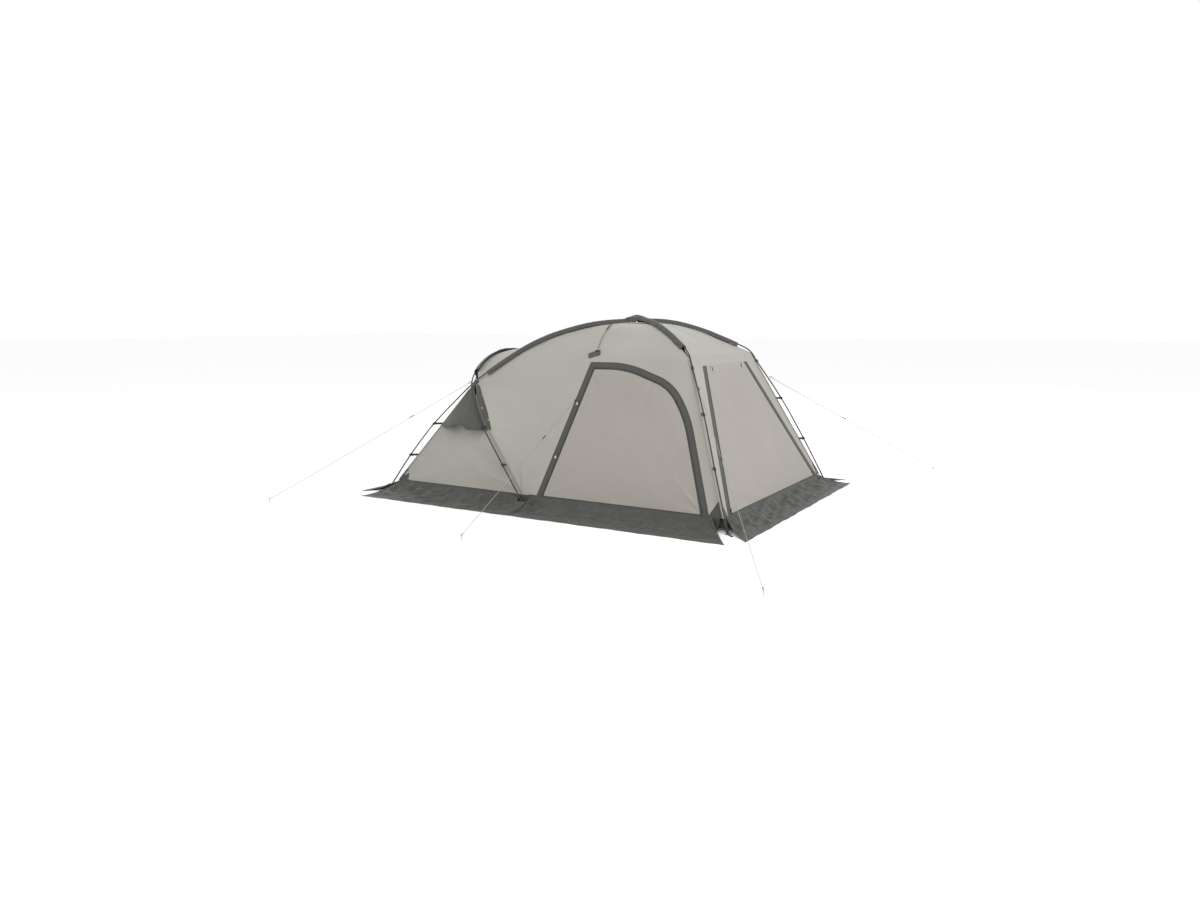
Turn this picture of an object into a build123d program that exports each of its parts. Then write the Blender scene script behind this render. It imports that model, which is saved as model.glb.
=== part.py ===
"""A three-pole frame tent with skirts, four doors, two vents and six guy lines.

Origin: centre of the footprint, on the ground. +X points to the rear end of
the tent (the taller living end), -Y is the near side, +Z is up. Millimetres.
The tent is symmetric about the XZ plane, so each far-side piece is the mirror
image of its near-side twin.
"""
from build123d import *
from math import radians, tan
import os

# ---------------------------------------------------------------- dimensions
# Footprint of the pole feet
FOOT_X = 1593
FOOT_Y = 1143
HOOP_FOOT_X = -128

# Crown, where the two main poles cross
APEX_X = 246
APEX_Z = 1500
APEX_GAP = 22          # centre distance of the two main poles at the crown

# Walls lean in: run per unit of height
SIDE_LEAN = 0.4225
REAR_LEAN = 0.4566
FRONT_LEAN = 0.6786
WALL_INSET = 15        # wall foot line inside the line of the pole feet
WALL_BOTTOM = 95       # height of the seam between wall and skirt
FABRIC = 2.5           # thickness that stands for coated fabric and its hem

# Poles
POLE_R = 5.5
POLE_BORE = 4.6
SPIGOT_R = 4.2
SPIGOT_BORE = 3.2
SPIGOT_LENGTH = 60
SHOCK_CORD_R = 1.5
SECTION_GAP = 0.8
TIP_HEIGHT = 26        # height of the plug that closes each pole foot

# Sleeves
SLEEVE_HALF = 35
SLEEVE_BORE = 7.5
SLEEVE_DROP = 24       # wall edge below the pole axis
SLEEVE_SIDE = 12       # wall edge beside the pole axis

# Skirts
SKIRT_X = 1620
SKIRT_Y = 1435
SKIRT_END_X = 1780
SKIRT_END_Y = 1290
HEM = 2.0

# Doors
DOOR_GAP = 1.5
BAND_THICKNESS = 3.0
REAR_DOOR_TOP = 1060
REAR_BAND_TOP = 1121
FRONT_DOOR_TOP = 960
FRONT_BAND_TOP = 1020
BAND = 60

# Guy lines
GUY_R = 1.5
PEG_HEIGHT = 48
PEG_R = 3.0
GUY_END_Z = 30

os.makedirs("parts", exist_ok=True)


# ------------------------------------------------------------------- helpers
def V(*xyz):
    return Vector(*xyz)


def flip(point):
    """Mirror a point to the other side of the tent."""
    return Vector(point.X, -point.Y, point.Z)


def mix(a, b, t):
    return a * (1 - t) + b * t


def finish(piece, name):
    piece.part.label = name
    export_step(piece.part, f"parts/{name}.step")


def corner_radii(points):
    """Largest tangent arcs that fit at each corner of a run of points."""
    radii = []
    for before, corner, after in zip(points, points[1:], points[2:]):
        turn = (corner - before).get_angle(after - corner)
        run = min((corner - before).length, (after - corner).length)
        radii.append(0.45 * run / tan(radians(turn) / 2))
    return radii


def bent_path(points):
    with BuildLine() as line:
        FilletPolyline(*points, radius=corner_radii(points))
    return line.wires()[0]


def tube_along(path, radius, bore=0.0, mode=Mode.ADD):
    """Round tube swept along a path; adds to the current part."""
    with BuildSketch(Plane(origin=path @ 0, z_dir=path % 0)) as ring:
        Circle(radius)
        if bore:
            Circle(bore, mode=Mode.SUBTRACT)
    sweep(ring.sketch, path=path, mode=mode)


def samples(path, count, first=0.0, last=1.0):
    """(point, unit tangent) pairs spaced along a path."""
    stops = [first + (last - first) * i / (count - 1) for i in range(count)]
    return [(path @ u, path % u) for u in stops]


def outward(point, tangent):
    """Direction away from the middle of the tent, square to the pole."""
    radial = point - TENT_CORE
    return (radial - tangent * radial.dot(tangent)).normalized()


def sleeve_edge(path, side, count=80):
    """The line a panel is sewn to, beside and below a sleeved pole."""
    edge = []
    for point, tangent in samples(path, count):
        normal = outward(point, tangent)
        across = normal.cross(tangent) * (side * SLEEVE_SIDE)
        edge.append(point + across - normal * SLEEVE_DROP)
    return edge


def at_height(points, height):
    """Point where a rising or falling run of points passes a height."""
    for a, b in zip(points, points[1:]):
        low, high = sorted((a.Z, b.Z))
        if low <= height <= high and high > low:
            return mix(a, b, (height - a.Z) / (b.Z - a.Z))
    return min(points, key=lambda p: abs(p.Z - height))


def sheet(rows, offsets):
    """Thin solid skin: each row of points and its offset copy are one flat section."""
    sections = []
    for row, offset_by in zip(rows, offsets):
        back = [p + offset_by for p in reversed(row)]
        sections.append(Face(Wire.make_polygon([*row, *back], close=True)))
    loft(sections, ruled=True)


def level_sheet(rows, facing, thickness=FABRIC):
    """Skin through level rows, a fabric thick across its slope, on the `facing` side."""
    offsets = []
    for k, row in enumerate(rows):
        below, above = rows[max(k - 1, 0)], rows[min(k + 1, len(rows) - 1)]
        middle = len(row) // 2
        rise = above[middle] - below[middle]
        steep = max(0.35, abs(rise.Z) / rise.length)
        offsets.append(facing * (thickness / steep))
    sheet(rows, offsets)


TENT_CORE = V(150, 0, 450)

# --------------------------------------------------------- pole centre lines
LEFT_STATIONS = [
    V(-FOOT_X, -FOOT_Y, 0), V(-1420, -1035, 317), V(-1242, -925, 591), V(-945, -739, 944),
    V(-744, -615, 1112), V(-560, -503, 1252), V(-372, -384, 1355), V(-75, -200, 1455),
]
RIGHT_STATIONS = [
    V(486, -170, 1469), V(706, -343, 1396), V(948, -530, 1270), V(1036, -622, 1210),
    V(1078, -660, 1120), V(1256, -828, 791), V(1418, -991, 421), V(FOOT_X, -FOOT_Y, 0),
]
HOOP_STATIONS = [
    V(HOOP_FOOT_X, -FOOT_Y, 0), V(-400, -1072, 315), V(-649, -1003, 603), V(-826, -905, 810),
    V(-957, -757, 958), V(-1040, -560, 1060), V(-1110, -330, 1138), V(-1146, -105, 1180),
]
crown_low = V(APEX_X, 0, APEX_Z - APEX_GAP)
crown_high = V(APEX_X, 0, APEX_Z)
path_a = bent_path(LEFT_STATIONS + [crown_low] + [flip(p) for p in RIGHT_STATIONS])
path_b = bent_path([flip(p) for p in LEFT_STATIONS] + [crown_high] + RIGHT_STATIONS)
path_hoop = bent_path(HOOP_STATIONS + [flip(p) for p in reversed(HOOP_STATIONS)])


def near_share(path, point):
    """Share of the path's length at which it passes closest to a point."""
    steps = 400
    return min((i / steps for i in range(steps + 1)), key=lambda u: (path @ u - point).length)


# ---------------------------------------------------------------------- poles
SECTIONS = {"main_pole_a": (path_a, 11), "main_pole_b": (path_b, 11), "hoop_pole": (path_hoop, 8)}
joints_at = []
for name, (path, count) in SECTIONS.items():
    stops = [path.length * i / count / path.length for i in range(1, count)]
    joints_at += [(path @ u, path % u) for u in stops]
    with BuildPart() as pole:
        tube_along(path, POLE_R, POLE_BORE)
        for u in stops:
            with BuildSketch(Plane(origin=path @ u, z_dir=path % u)):
                Circle(POLE_R * 2)
            extrude(amount=SECTION_GAP / 2, both=True, mode=Mode.SUBTRACT)
        split(bisect_by=Plane.XY.offset(TIP_HEIGHT), keep=Keep.TOP)
    finish(pole, name)

with BuildPart() as pole_ferrules:
    for path, count in SECTIONS.values():
        tube_along(path, SPIGOT_R, SPIGOT_BORE)
    with BuildPart(mode=Mode.INTERSECT):
        for point, tangent in joints_at:
            with BuildSketch(Plane(origin=point, z_dir=tangent)):
                Circle(POLE_R * 2)
            extrude(amount=SPIGOT_LENGTH / 2, both=True)
finish(pole_ferrules, "pole_ferrules")

with BuildPart() as shock_cords:
    for path, count in SECTIONS.values():
        tube_along(path, SHOCK_CORD_R)
    split(bisect_by=Plane.XY.offset(TIP_HEIGHT + 1), keep=Keep.TOP)
finish(shock_cords, "shock_cords")

foot_ends = [(path @ end, path % end) for path in (path_a, path_b, path_hoop) for end in (0, 1)]
with BuildPart() as pole_tips:
    for point, tangent in foot_ends:
        rising = tangent if tangent.Z > 0 else -tangent
        foot = Plane(origin=point - rising * 8, z_dir=rising)
        with BuildSketch(foot):
            Circle(POLE_R + 1.5)
        extrude(amount=TIP_HEIGHT * 2)
    split(bisect_by=Plane.XY.offset(TIP_HEIGHT - 1), keep=Keep.BOTTOM)
    split(bisect_by=Plane.XY, keep=Keep.TOP)
finish(pole_tips, "pole_tips")

# --------------------------------------------------------------------- seams
HOOP_TO_CREASE = V(22, 32, -5)     # from the hoop pole to the crease clipped to it
SEAM_GAP = 1.0                     # half the gap between neighbouring panels
CREASE_TOP = 860
SLEEVE_A_START = 1020              # height where sleeve A begins beside the crossing
CORNER_TOP = 1190


def side_plane(height):
    """Y of the near side wall's flat part."""
    return -(FOOT_Y - WALL_INSET) + SIDE_LEAN * height


def rear_plane(height):
    return FOOT_X - WALL_INSET - REAR_LEAN * height


def front_seam(height):
    """Point on the near front corner seam."""
    return V(-(FOOT_X - WALL_INSET) + FRONT_LEAN * height, side_plane(height), height)


def rear_seam(height):
    return V(rear_plane(height), side_plane(height), height)


edge_side = sleeve_edge(path_a, -1)
edge_roof = sleeve_edge(path_a, +1)
left_side_edge = [p for p in edge_side if p.Y < 0 and p.Z > 900]
left_roof_edge = [p for p in edge_roof if p.Y < 0 and p.Z > 930]
right_side_edge = [flip(p) for p in edge_roof if p.Y > 0 and p.Z > 1262]
right_rear_edge = [flip(p) for p in edge_side if p.Y > 0 and p.Z > 1262]
hoop_front_edge = [p for p in sleeve_edge(path_hoop, +1) if p.Z > 960]
hoop_roof_edge = [p for p in sleeve_edge(path_hoop, -1) if p.Z > 1010]
hoop_beside = [p + HOOP_TO_CREASE for p, _ in samples(path_hoop, 120) if p.Y < 0]
crease = [p for p in hoop_beside if p.Z < CREASE_TOP]

side_left = crease + left_side_edge
side_right = right_side_edge + [rear_seam(CORNER_TOP), rear_seam(0)]
rear_near = right_rear_edge + [rear_seam(CORNER_TOP), rear_seam(0)]


# ---------------------------------------------------------------- wall shells
def fade(share, reach):
    return max(0.0, 1 - share / reach) ** 2


DOOR_LEG_FOOT_X = -60
DOOR_LEG_LEAN = 0.2285
FLAT_TOP = 1150


def side_row(height, count=19):
    """One level row of the side wall: flat by the door, drawn out at its edges."""
    left = at_height(side_left, height) + V(SEAM_GAP, 0, 0)
    right = at_height(side_right, height) - V(SEAM_GAP, 0, 0)
    leg = DOOR_LEG_FOOT_X + DOOR_LEG_LEAN * height
    flat_reach = (leg - 10 - left.X) / (right.X - left.X)
    loosen = min(1.0, max(0.0, (height - FLAT_TOP) / 180))
    reach = flat_reach + (1 - flat_reach) * loosen
    base = side_plane(height)
    row = []
    for i in range(count):
        s = i / (count - 1)
        bend_left = mix(fade(s, reach), 1 - s, loosen)
        bend_right = mix(fade(1 - s, 0.06 + 0.94 * loosen), s, loosen)
        y = base + (left.Y - base) * bend_left + (right.Y - base) * bend_right
        row.append(V(left.X + (right.X - left.X) * s, y, height))
    return row


SIDE_LEVELS = [95, 200, 320, 440, 560, 680, 800, 900, 1000, 1080, 1150, 1210, 1265, 1320, 1370, 1410, 1438]
NEAR_OUT = V(0, -1, SIDE_LEAN)
REAR_OUT = V(1, 0, REAR_LEAN)
FRONT_OUT = V(-1, 0, FRONT_LEAN)

near_plane = Plane(origin=(0, side_plane(0), 0), x_dir=(1, 0, 0), z_dir=NEAR_OUT)
rear_wall_plane = Plane(origin=(rear_plane(0), 0, 0), x_dir=(0, 1, 0), z_dir=REAR_OUT)
SIDE_SLOPE = (1 + SIDE_LEAN ** 2) ** 0.5      # length up the wall per unit height
REAR_SLOPE = (1 + REAR_LEAN ** 2) ** 0.5
CUT_DEPTH = 60

# Side door, outer edge of its dark band: (x, height) of the corners its arch rounds
ARCH = [(179, 1140), (520, 1142), (950, 1004), (1140, 770)]
DOOR_FOOT_RIGHT = (1425, 95)
DOOR_BOTTOM = WALL_BOTTOM + 10


def up_wall(points, slope):
    return [(x, height * slope) for x, height in points]


def grounded(corner, foot, height):
    """Carry the line from corner to foot on to another height."""
    share = (corner[1] - height) / (corner[1] - foot[1])
    return (corner[0] + (foot[0] - corner[0]) * share, height)


def rounded_outline(points):
    """Closed outline with its inner corners rounded as far as they allow."""
    corners = [Vector(x, y, 0) for x, y in points]
    with BuildSketch() as outline:
        with BuildLine():
            FilletPolyline(*corners, radius=[TIGHT] + corner_radii(corners)[1:])
            Line(corners[-1], corners[0])
        make_face()
    return outline


TIGHT = 12
LOW = WALL_BOTTOM - BAND
door_foot_left = (DOOR_LEG_FOOT_X, WALL_BOTTOM)
side_corners = [grounded(ARCH[0], door_foot_left, LOW), *ARCH, grounded(ARCH[-1], DOOR_FOOT_RIGHT, LOW)]
side_band_outer = rounded_outline(up_wall(side_corners, SIDE_SLOPE))

REAR_HALF_TOP = 454
REAR_HALF_LEAN = 0.5453


def tapered(half_top, lean, top, bottom, slope=1.0):
    """Trapezium outline, narrower at the top, as (across, up) points."""
    half_low = half_top + lean * (top - bottom)
    return up_wall([(-half_top, top), (half_top, top), (half_low, bottom), (-half_low, bottom)], slope)


with BuildSketch() as rear_band_outer:
    with BuildLine():
        Polyline(*tapered(REAR_HALF_TOP, REAR_HALF_LEAN, REAR_BAND_TOP, WALL_BOTTOM - BAND, REAR_SLOPE), close=True)
    make_face()
    fillet(rear_band_outer.vertices().group_by(Axis.Y)[-1], 45)

FRONT_HALF_TOP = 370
FRONT_HALF_LEAN = 0.35
with BuildSketch() as front_band_outer:
    with BuildLine():
        Polyline(*tapered(FRONT_HALF_TOP, FRONT_HALF_LEAN, FRONT_BAND_TOP, WALL_BOTTOM - BAND), close=True)
    make_face()
    fillet(front_band_outer.vertices().group_by(Axis.Y)[-1], 45)


def shrunk(outline, amount, bottom):
    """An outline grown or shrunk by an amount and cut off level at the bottom."""
    with BuildSketch() as shape:
        add(outline.sketch)
        offset(amount=amount, kind=Kind.ARC)
        with Locations((0, bottom + 1000)):
            Rectangle(6000, 2000, mode=Mode.INTERSECT)
    return shape.sketch


def band_shape(outline, bottom):
    with BuildSketch() as shape:
        add(shrunk(outline, 0.01, bottom))
        add(shrunk(outline, -BAND, bottom - 10), mode=Mode.SUBTRACT)
    return shape.sketch


def lay_on(plane, sketch):
    return plane * sketch


with BuildPart() as side_wall_near:
    level_sheet([side_row(z) for z in SIDE_LEVELS], V(0, -1, 0))
    extrude(lay_on(near_plane, shrunk(side_band_outer, SEAM_GAP, 0)), amount=CUT_DEPTH, both=True, mode=Mode.SUBTRACT)
finish(side_wall_near, "side_wall_near")

with BuildPart() as side_band_near:
    extrude(lay_on(near_plane, band_shape(side_band_outer, WALL_BOTTOM * SIDE_SLOPE)), amount=BAND_THICKNESS)
finish(side_band_near, "side_band_near")

with BuildPart() as door_near:
    extrude(lay_on(near_plane, shrunk(side_band_outer, -BAND - DOOR_GAP, DOOR_BOTTOM * SIDE_SLOPE)), amount=FABRIC)
finish(door_near, "door_near")

# ------------------------------------------------------------------ rear wall
REAR_KNUCKLE = 1188
REAR_LEVELS = [1192, 1215, 1240, 1265, 1290, 1320, 1350, 1380, 1410, 1435]


def rear_row(height, count=9):
    near = at_height(rear_near, height) + V(0, SEAM_GAP, 0)
    return [mix(near, flip(near), i / (count - 1)) for i in range(count)]


def flat_wall_outline():
    """The rear wall below its knuckle, as (across, up) on the leaning plane."""
    low, high = rear_seam(WALL_BOTTOM).Y + SEAM_GAP, rear_seam(REAR_KNUCKLE).Y + SEAM_GAP
    points = [(low, WALL_BOTTOM), (-low, WALL_BOTTOM), (-high, REAR_KNUCKLE), (high, REAR_KNUCKLE)]
    with BuildSketch() as outline:
        with BuildLine():
            Polyline(*up_wall(points, REAR_SLOPE), close=True)
        make_face()
        add(shrunk(rear_band_outer, SEAM_GAP, 0), mode=Mode.SUBTRACT)
    return outline.sketch


with BuildPart() as rear_wall:
    extrude(lay_on(rear_wall_plane, flat_wall_outline()), amount=FABRIC)
    level_sheet([rear_row(z) for z in REAR_LEVELS], V(1, 0, 0))
finish(rear_wall, "rear_wall")

with BuildPart() as rear_band:
    extrude(lay_on(rear_wall_plane, band_shape(rear_band_outer, WALL_BOTTOM * REAR_SLOPE)), amount=BAND_THICKNESS)
finish(rear_band, "rear_band")

with BuildPart() as door_rear:
    extrude(lay_on(rear_wall_plane, shrunk(rear_band_outer, -BAND - DOOR_GAP, DOOR_BOTTOM * REAR_SLOPE)), amount=FABRIC)
finish(door_rear, "door_rear")

# ----------------------------------------------------------------- front wall
FRONT_FOOT = front_seam(WALL_BOTTOM)
FRONT_LEVELS = [95, 250, 420, 600, 760, 890, 960, 1010, 1060, 1100, 1135]
hoop_near_front = [p for p in hoop_front_edge if p.Y < 0]


def front_top(across):
    """Top of the front wall above a distance from the middle: the hoop or the corner seam."""
    knee = hoop_near_front[0]
    if across > -knee.Y:
        height = (-across - side_plane(0)) / SIDE_LEAN
        return front_seam(max(height, WALL_BOTTOM + 1))
    inside = [p for p in hoop_near_front if -p.Y <= across]
    if not inside:
        return hoop_near_front[-1]
    beyond = [p for p in hoop_near_front if -p.Y > across]
    a, b = beyond[-1], inside[0]
    return mix(a, b, (-a.Y - across) / (b.Y - a.Y))


def front_x(across, height):
    """X of the front wall, which runs straight from the ground seam to its top edge."""
    top = front_top(abs(across))
    if top.Z - WALL_BOTTOM < 40:
        return front_seam(height).X
    return mix(FRONT_FOOT.X, top.X, (height - WALL_BOTTOM) / (top.Z - WALL_BOTTOM))


def front_half_width(height):
    seam = -front_seam(height).Y
    knee = hoop_near_front[0]
    if height < knee.Z - 60:
        return seam
    return -at_height([front_seam(knee.Z - 60)] + hoop_near_front, height).Y


def front_row(height, count=21):
    half = front_half_width(height) - SEAM_GAP
    ends = [-half + 2 * half * i / (count - 1) for i in range(count)]
    return [V(front_x(y, height), y, height) for y in ends]


front_rows = [front_row(z) for z in FRONT_LEVELS]
front_cut_plane = Plane(origin=(-1800, 0, 0), x_dir=(0, 1, 0), z_dir=(1, 0, 0))
FRONT_CUT = 1100


def front_piece(outline_sketch, mode, thickness=FABRIC):
    """The front wall's shell kept or cut by an outline drawn looking along X."""
    with BuildPart() as piece:
        level_sheet(front_rows, V(-1, 0, 0), thickness)
        extrude(lay_on(front_cut_plane, outline_sketch), amount=FRONT_CUT, mode=mode)
    return piece


front_wall = front_piece(shrunk(front_band_outer, SEAM_GAP, 0), Mode.SUBTRACT)
finish(front_wall, "front_wall")
front_band = front_piece(band_shape(front_band_outer, WALL_BOTTOM), Mode.INTERSECT, BAND_THICKNESS)
finish(front_band, "front_band")
door_front = front_piece(shrunk(front_band_outer, -BAND - DOOR_GAP, DOOR_BOTTOM), Mode.INTERSECT)
finish(door_front, "door_front")

# ---------------------------------------------------------------- front roof
hoop_line = [left_roof_edge[0]] + [p for p in hoop_roof_edge] + [flip(left_roof_edge[0])]
roof_left = list(reversed(left_roof_edge))


def along(points, share):
    """Point at a share of the length of a run of points."""
    lengths = [(b - a).length for a, b in zip(points, points[1:])]
    left = share * sum(lengths)
    for a, b, length in zip(points, points[1:], lengths):
        if left <= length:
            return mix(a, b, left / length)
        left -= length
    return points[-1]


roof_corner, roof_brow = roof_left[-1], along(hoop_line, 0.5)
HOOP_UP = (roof_brow - V(roof_corner.X, 0, roof_corner.Z)).normalized()      # up the hoop's leaning plane


def roof_row(t, count=17):
    """Row from sleeve to sleeve, in a plane that leans from upright to the hoop's own."""
    near = along(roof_left, t)
    crown, brow, corner = V(roof_left[0].X, 0, roof_left[0].Z), roof_brow, roof_corner
    up = mix(V(0, 0, 1), HOOP_UP, t).normalized()
    ridge = brow - crown
    square = V(-ridge.Z, 0, ridge.X)
    middle = V(near.X, 0, near.Z)
    rise = square.dot(crown - middle) / square.dot(up)
    hoop_rise = (brow - corner).dot(HOOP_UP)
    row = []
    for i in range(count):
        s = i / (count - 1)
        rim = along(hoop_line, s)
        across = near.Y * (1 - 2 * s) * (1 - t ** 3) + rim.Y * near.Y / corner.Y * t ** 3
        lift = mix((4 * s * (1 - s)) ** 2, (rim - corner).dot(HOOP_UP) / hoop_rise, t ** 12) * rise
        row.append(V(near.X, across, near.Z) + up * lift)
    return row, up * FABRIC


with BuildPart() as roof_front:
    roof_rows = [roof_row(t / 12) for t in range(13)]
    sheet([row for row, _ in roof_rows], [thick for _, thick in roof_rows])
finish(roof_front, "roof_front")

# --------------------------------------------------------------- vent gusset
GUSSET_LEVELS = [95, 220, 350, 480, 600, 700, 800, CREASE_TOP - 15]
VENT_LOW = 640
VENT_HIGH = 820


def gusset_row(height, count=13):
    left = front_seam(height) + V(SEAM_GAP, 0, 0)
    right = at_height(hoop_beside, height) - V(SEAM_GAP, 0, 0)
    return [mix(left, right, i / (count - 1)) for i in range(count)]


def vent_outline(grow):
    """Vent window, drawn looking along Y: (x, height)."""
    points = []
    for height, inset in ((VENT_LOW - grow, 70), (VENT_HIGH + grow, 34)):
        row = gusset_row(height)
        points.append((row[0].X + inset - grow, row[-1].X - inset + grow, height))
    (a, b, low), (c, d, high) = points
    with BuildSketch() as outline:
        with BuildLine():
            Polyline((a, low), (b, low), (d, high), (c, high), close=True)
        make_face()
    return outline.sketch


vent_cut_plane = Plane(origin=(0, -1300, 0), x_dir=(1, 0, 0), z_dir=(0, -1, 0))


def gusset_piece(grow, mode, thickness=FABRIC):
    with BuildPart() as piece:
        level_sheet([gusset_row(z) for z in GUSSET_LEVELS], V(0, -1, 0), thickness)
        extrude(lay_on(vent_cut_plane, vent_outline(grow)), amount=-900, mode=mode)
    return piece


vent_gusset_near = gusset_piece(SEAM_GAP, Mode.SUBTRACT)
finish(vent_gusset_near, "vent_gusset_near")
vent_mesh_near = gusset_piece(0, Mode.INTERSECT, 1.5)
finish(vent_mesh_near, "vent_mesh_near")

# ------------------------------------------------------------------ vent hood
HOOD_LIFT = 8          # clear of the gusset at its sewn edges
HOOD_STAND = 100       # how far the brim stands off in the middle
HOOD_LEVELS = [915, 875, 835, 790, 740, 690, 640, 600, 575]
BELLY_TOP = 835        # the hood lies flat above this height
out_near = NEAR_OUT.normalized()


def hood_row(height, count=13):
    drop = max(0.0, (BELLY_TOP - height) / (BELLY_TOP - HOOD_LEVELS[-1]))
    row = gusset_row(height)
    left = row[0] + V(6, 0, 0)
    right = row[-1] - V(10, 0, 0)
    points = []
    for i in range(count):
        s = i / (count - 1)
        belly = HOOD_STAND * 4 * s * (1 - s) * drop ** 1.3
        points.append(mix(left, right, s) - V(0, HOOD_LIFT + belly, 0))
    return points


with BuildPart() as vent_hood_near:
    level_sheet([hood_row(z) for z in HOOD_LEVELS], V(0, -1, 0), 2)
    with BuildSketch(vent_cut_plane):
        with Locations(((hood_row(575)[0].X + hood_row(575)[-1].X) / 2, 575 - 300)):
            Ellipse(240, 335)
    extrude(amount=-900, mode=Mode.SUBTRACT)
finish(vent_hood_near, "vent_hood_near")

# --------------------------------------------------------------------- skirts
def skirt_shell(top_a, top_b, hem_a, hem_b, count=7):
    """Skirt from its wall seam down and out to its hem on the ground."""
    sections = []
    for i in range(count):
        top, hem = mix(top_a, top_b, i / (count - 1)), mix(hem_a, hem_b, i / (count - 1))
        slope = [mix(top, hem, v / 6) + V(0, 0, 0.3 + (WALL_BOTTOM - 2.5) * (1 - v / 6) ** 1.8) for v in range(7)]
        back = [p + V(0, 0, HEM) for p in reversed(slope)]
        sections.append(Face(Wire.make_polygon([*slope, *back], close=True)))
    loft(sections, ruled=True)


near_top_y = side_plane(WALL_BOTTOM) - 1
with BuildPart() as skirt_near:
    skirt_shell(V(-1480, near_top_y, 0), V(-215, near_top_y, 0), V(-SKIRT_X, -SKIRT_Y, 0), V(-118, -SKIRT_Y, 0))
    skirt_shell(V(-102, near_top_y, 0), V(1500, near_top_y, 0), V(-106, -SKIRT_Y, 0), V(SKIRT_X + 25, -SKIRT_Y, 0))
finish(skirt_near, "skirt_near")

rear_top_x = rear_plane(WALL_BOTTOM) + 1
with BuildPart() as skirt_rear:
    skirt_shell(V(rear_top_x, -1046, 0), V(rear_top_x, 1046, 0), V(SKIRT_END_X, -SKIRT_END_Y, 0), V(SKIRT_END_X, SKIRT_END_Y, 0))
finish(skirt_rear, "skirt_rear")

front_top_x = front_seam(WALL_BOTTOM).X - 1
with BuildPart() as skirt_front:
    skirt_shell(V(front_top_x, -1046, 0), V(front_top_x, 1046, 0), V(-SKIRT_END_X, -SKIRT_END_Y, 0), V(-SKIRT_END_X, SKIRT_END_Y, 0))
finish(skirt_front, "skirt_front")

# -------------------------------------------------------------------- sleeves
WING = [(0, 10.5), (-9, 8), (-SLEEVE_HALF, -13.5), (-SLEEVE_HALF, -16.5), (-10, -10.5),
        (10, -10.5), (SLEEVE_HALF, -16.5), (SLEEVE_HALF, -13.5), (9, 8)]


def sleeve_run(path, first, last, count):
    """Fabric sleeve with drooping sewn edges over a share of a pole."""
    sections = []
    for point, tangent in samples(path, count, first, last):
        across = outward(point, tangent).cross(tangent)
        with BuildSketch(Plane(origin=point, x_dir=across, z_dir=tangent)) as section:
            with BuildLine():
                Polyline(*WING, close=True)
            make_face()
        sections.append(section.sketch)
    loft(sections, ruled=True)


u_start = near_share(path_a, V(-849, -681, 1035))
u_crown = near_share(path_a, crown_low)
u_end = near_share(path_a, V(948, 530, 1270))
CROWN_GAP = 62 / path_a.length

with BuildPart() as sleeve_a:
    sleeve_run(path_a, u_start, u_crown - CROWN_GAP, 16)
    sleeve_run(path_a, u_crown + CROWN_GAP, u_end, 12)
    tube_along(path_a, SLEEVE_BORE, mode=Mode.SUBTRACT)
finish(sleeve_a, "sleeve_a")

with BuildPart() as sleeve_b:
    sleeve_run(path_b, u_start, u_end, 28)
    for path in (path_b, path_a):
        tube_along(path, SLEEVE_BORE, mode=Mode.SUBTRACT)
finish(sleeve_b, "sleeve_b")

h_start = near_share(path_hoop, V(-1010, -625, 1025))
with BuildPart() as sleeve_hoop:
    sleeve_run(path_hoop, h_start, 1 - h_start, 20)
    tube_along(path_hoop, SLEEVE_BORE, mode=Mode.SUBTRACT)
finish(sleeve_hoop, "sleeve_hoop")

# ------------------------------------------------------- far side, mirror twins
def far_twin(piece, name):
    with BuildPart() as twin:
        mirror(piece.part, about=Plane.XZ)
    finish(twin, name)


far_twin(side_wall_near, "side_wall_far")
far_twin(side_band_near, "side_band_far")
far_twin(door_near, "door_far")
far_twin(vent_gusset_near, "vent_gusset_far")
far_twin(vent_mesh_near, "vent_mesh_far")
far_twin(vent_hood_near, "vent_hood_far")
far_twin(skirt_near, "skirt_far")

# ----------------------------------------------------------------------- zips
ZIP_WIDTH = 8
ZIP_HEIGHT = 1.5
ZIP_INSET = BAND - 12      # from the band's outer edge to the zip's outer side


def zip_shape(outline, bottom):
    with BuildSketch() as shape:
        add(shrunk(outline, -ZIP_INSET, bottom))
        add(shrunk(outline, -ZIP_INSET - ZIP_WIDTH, bottom - 10), mode=Mode.SUBTRACT)
    return shape.sketch


with BuildPart() as door_zips:
    extrude(lay_on(near_plane.offset(BAND_THICKNESS), zip_shape(side_band_outer, WALL_BOTTOM * SIDE_SLOPE)),
            amount=ZIP_HEIGHT)
    mirror(about=Plane.XZ)
    extrude(lay_on(rear_wall_plane.offset(BAND_THICKNESS), zip_shape(rear_band_outer, WALL_BOTTOM * REAR_SLOPE)),
            amount=ZIP_HEIGHT)
finish(door_zips, "door_zips")

SLIDER_LIFT = BAND_THICKNESS + ZIP_HEIGHT + 0.5
SLIDER_REST = 150          # height of the rest place, measured on the band's outer edge
SLIDER = (12, 16, 5)
PULL = (7, 34, 2)


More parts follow.
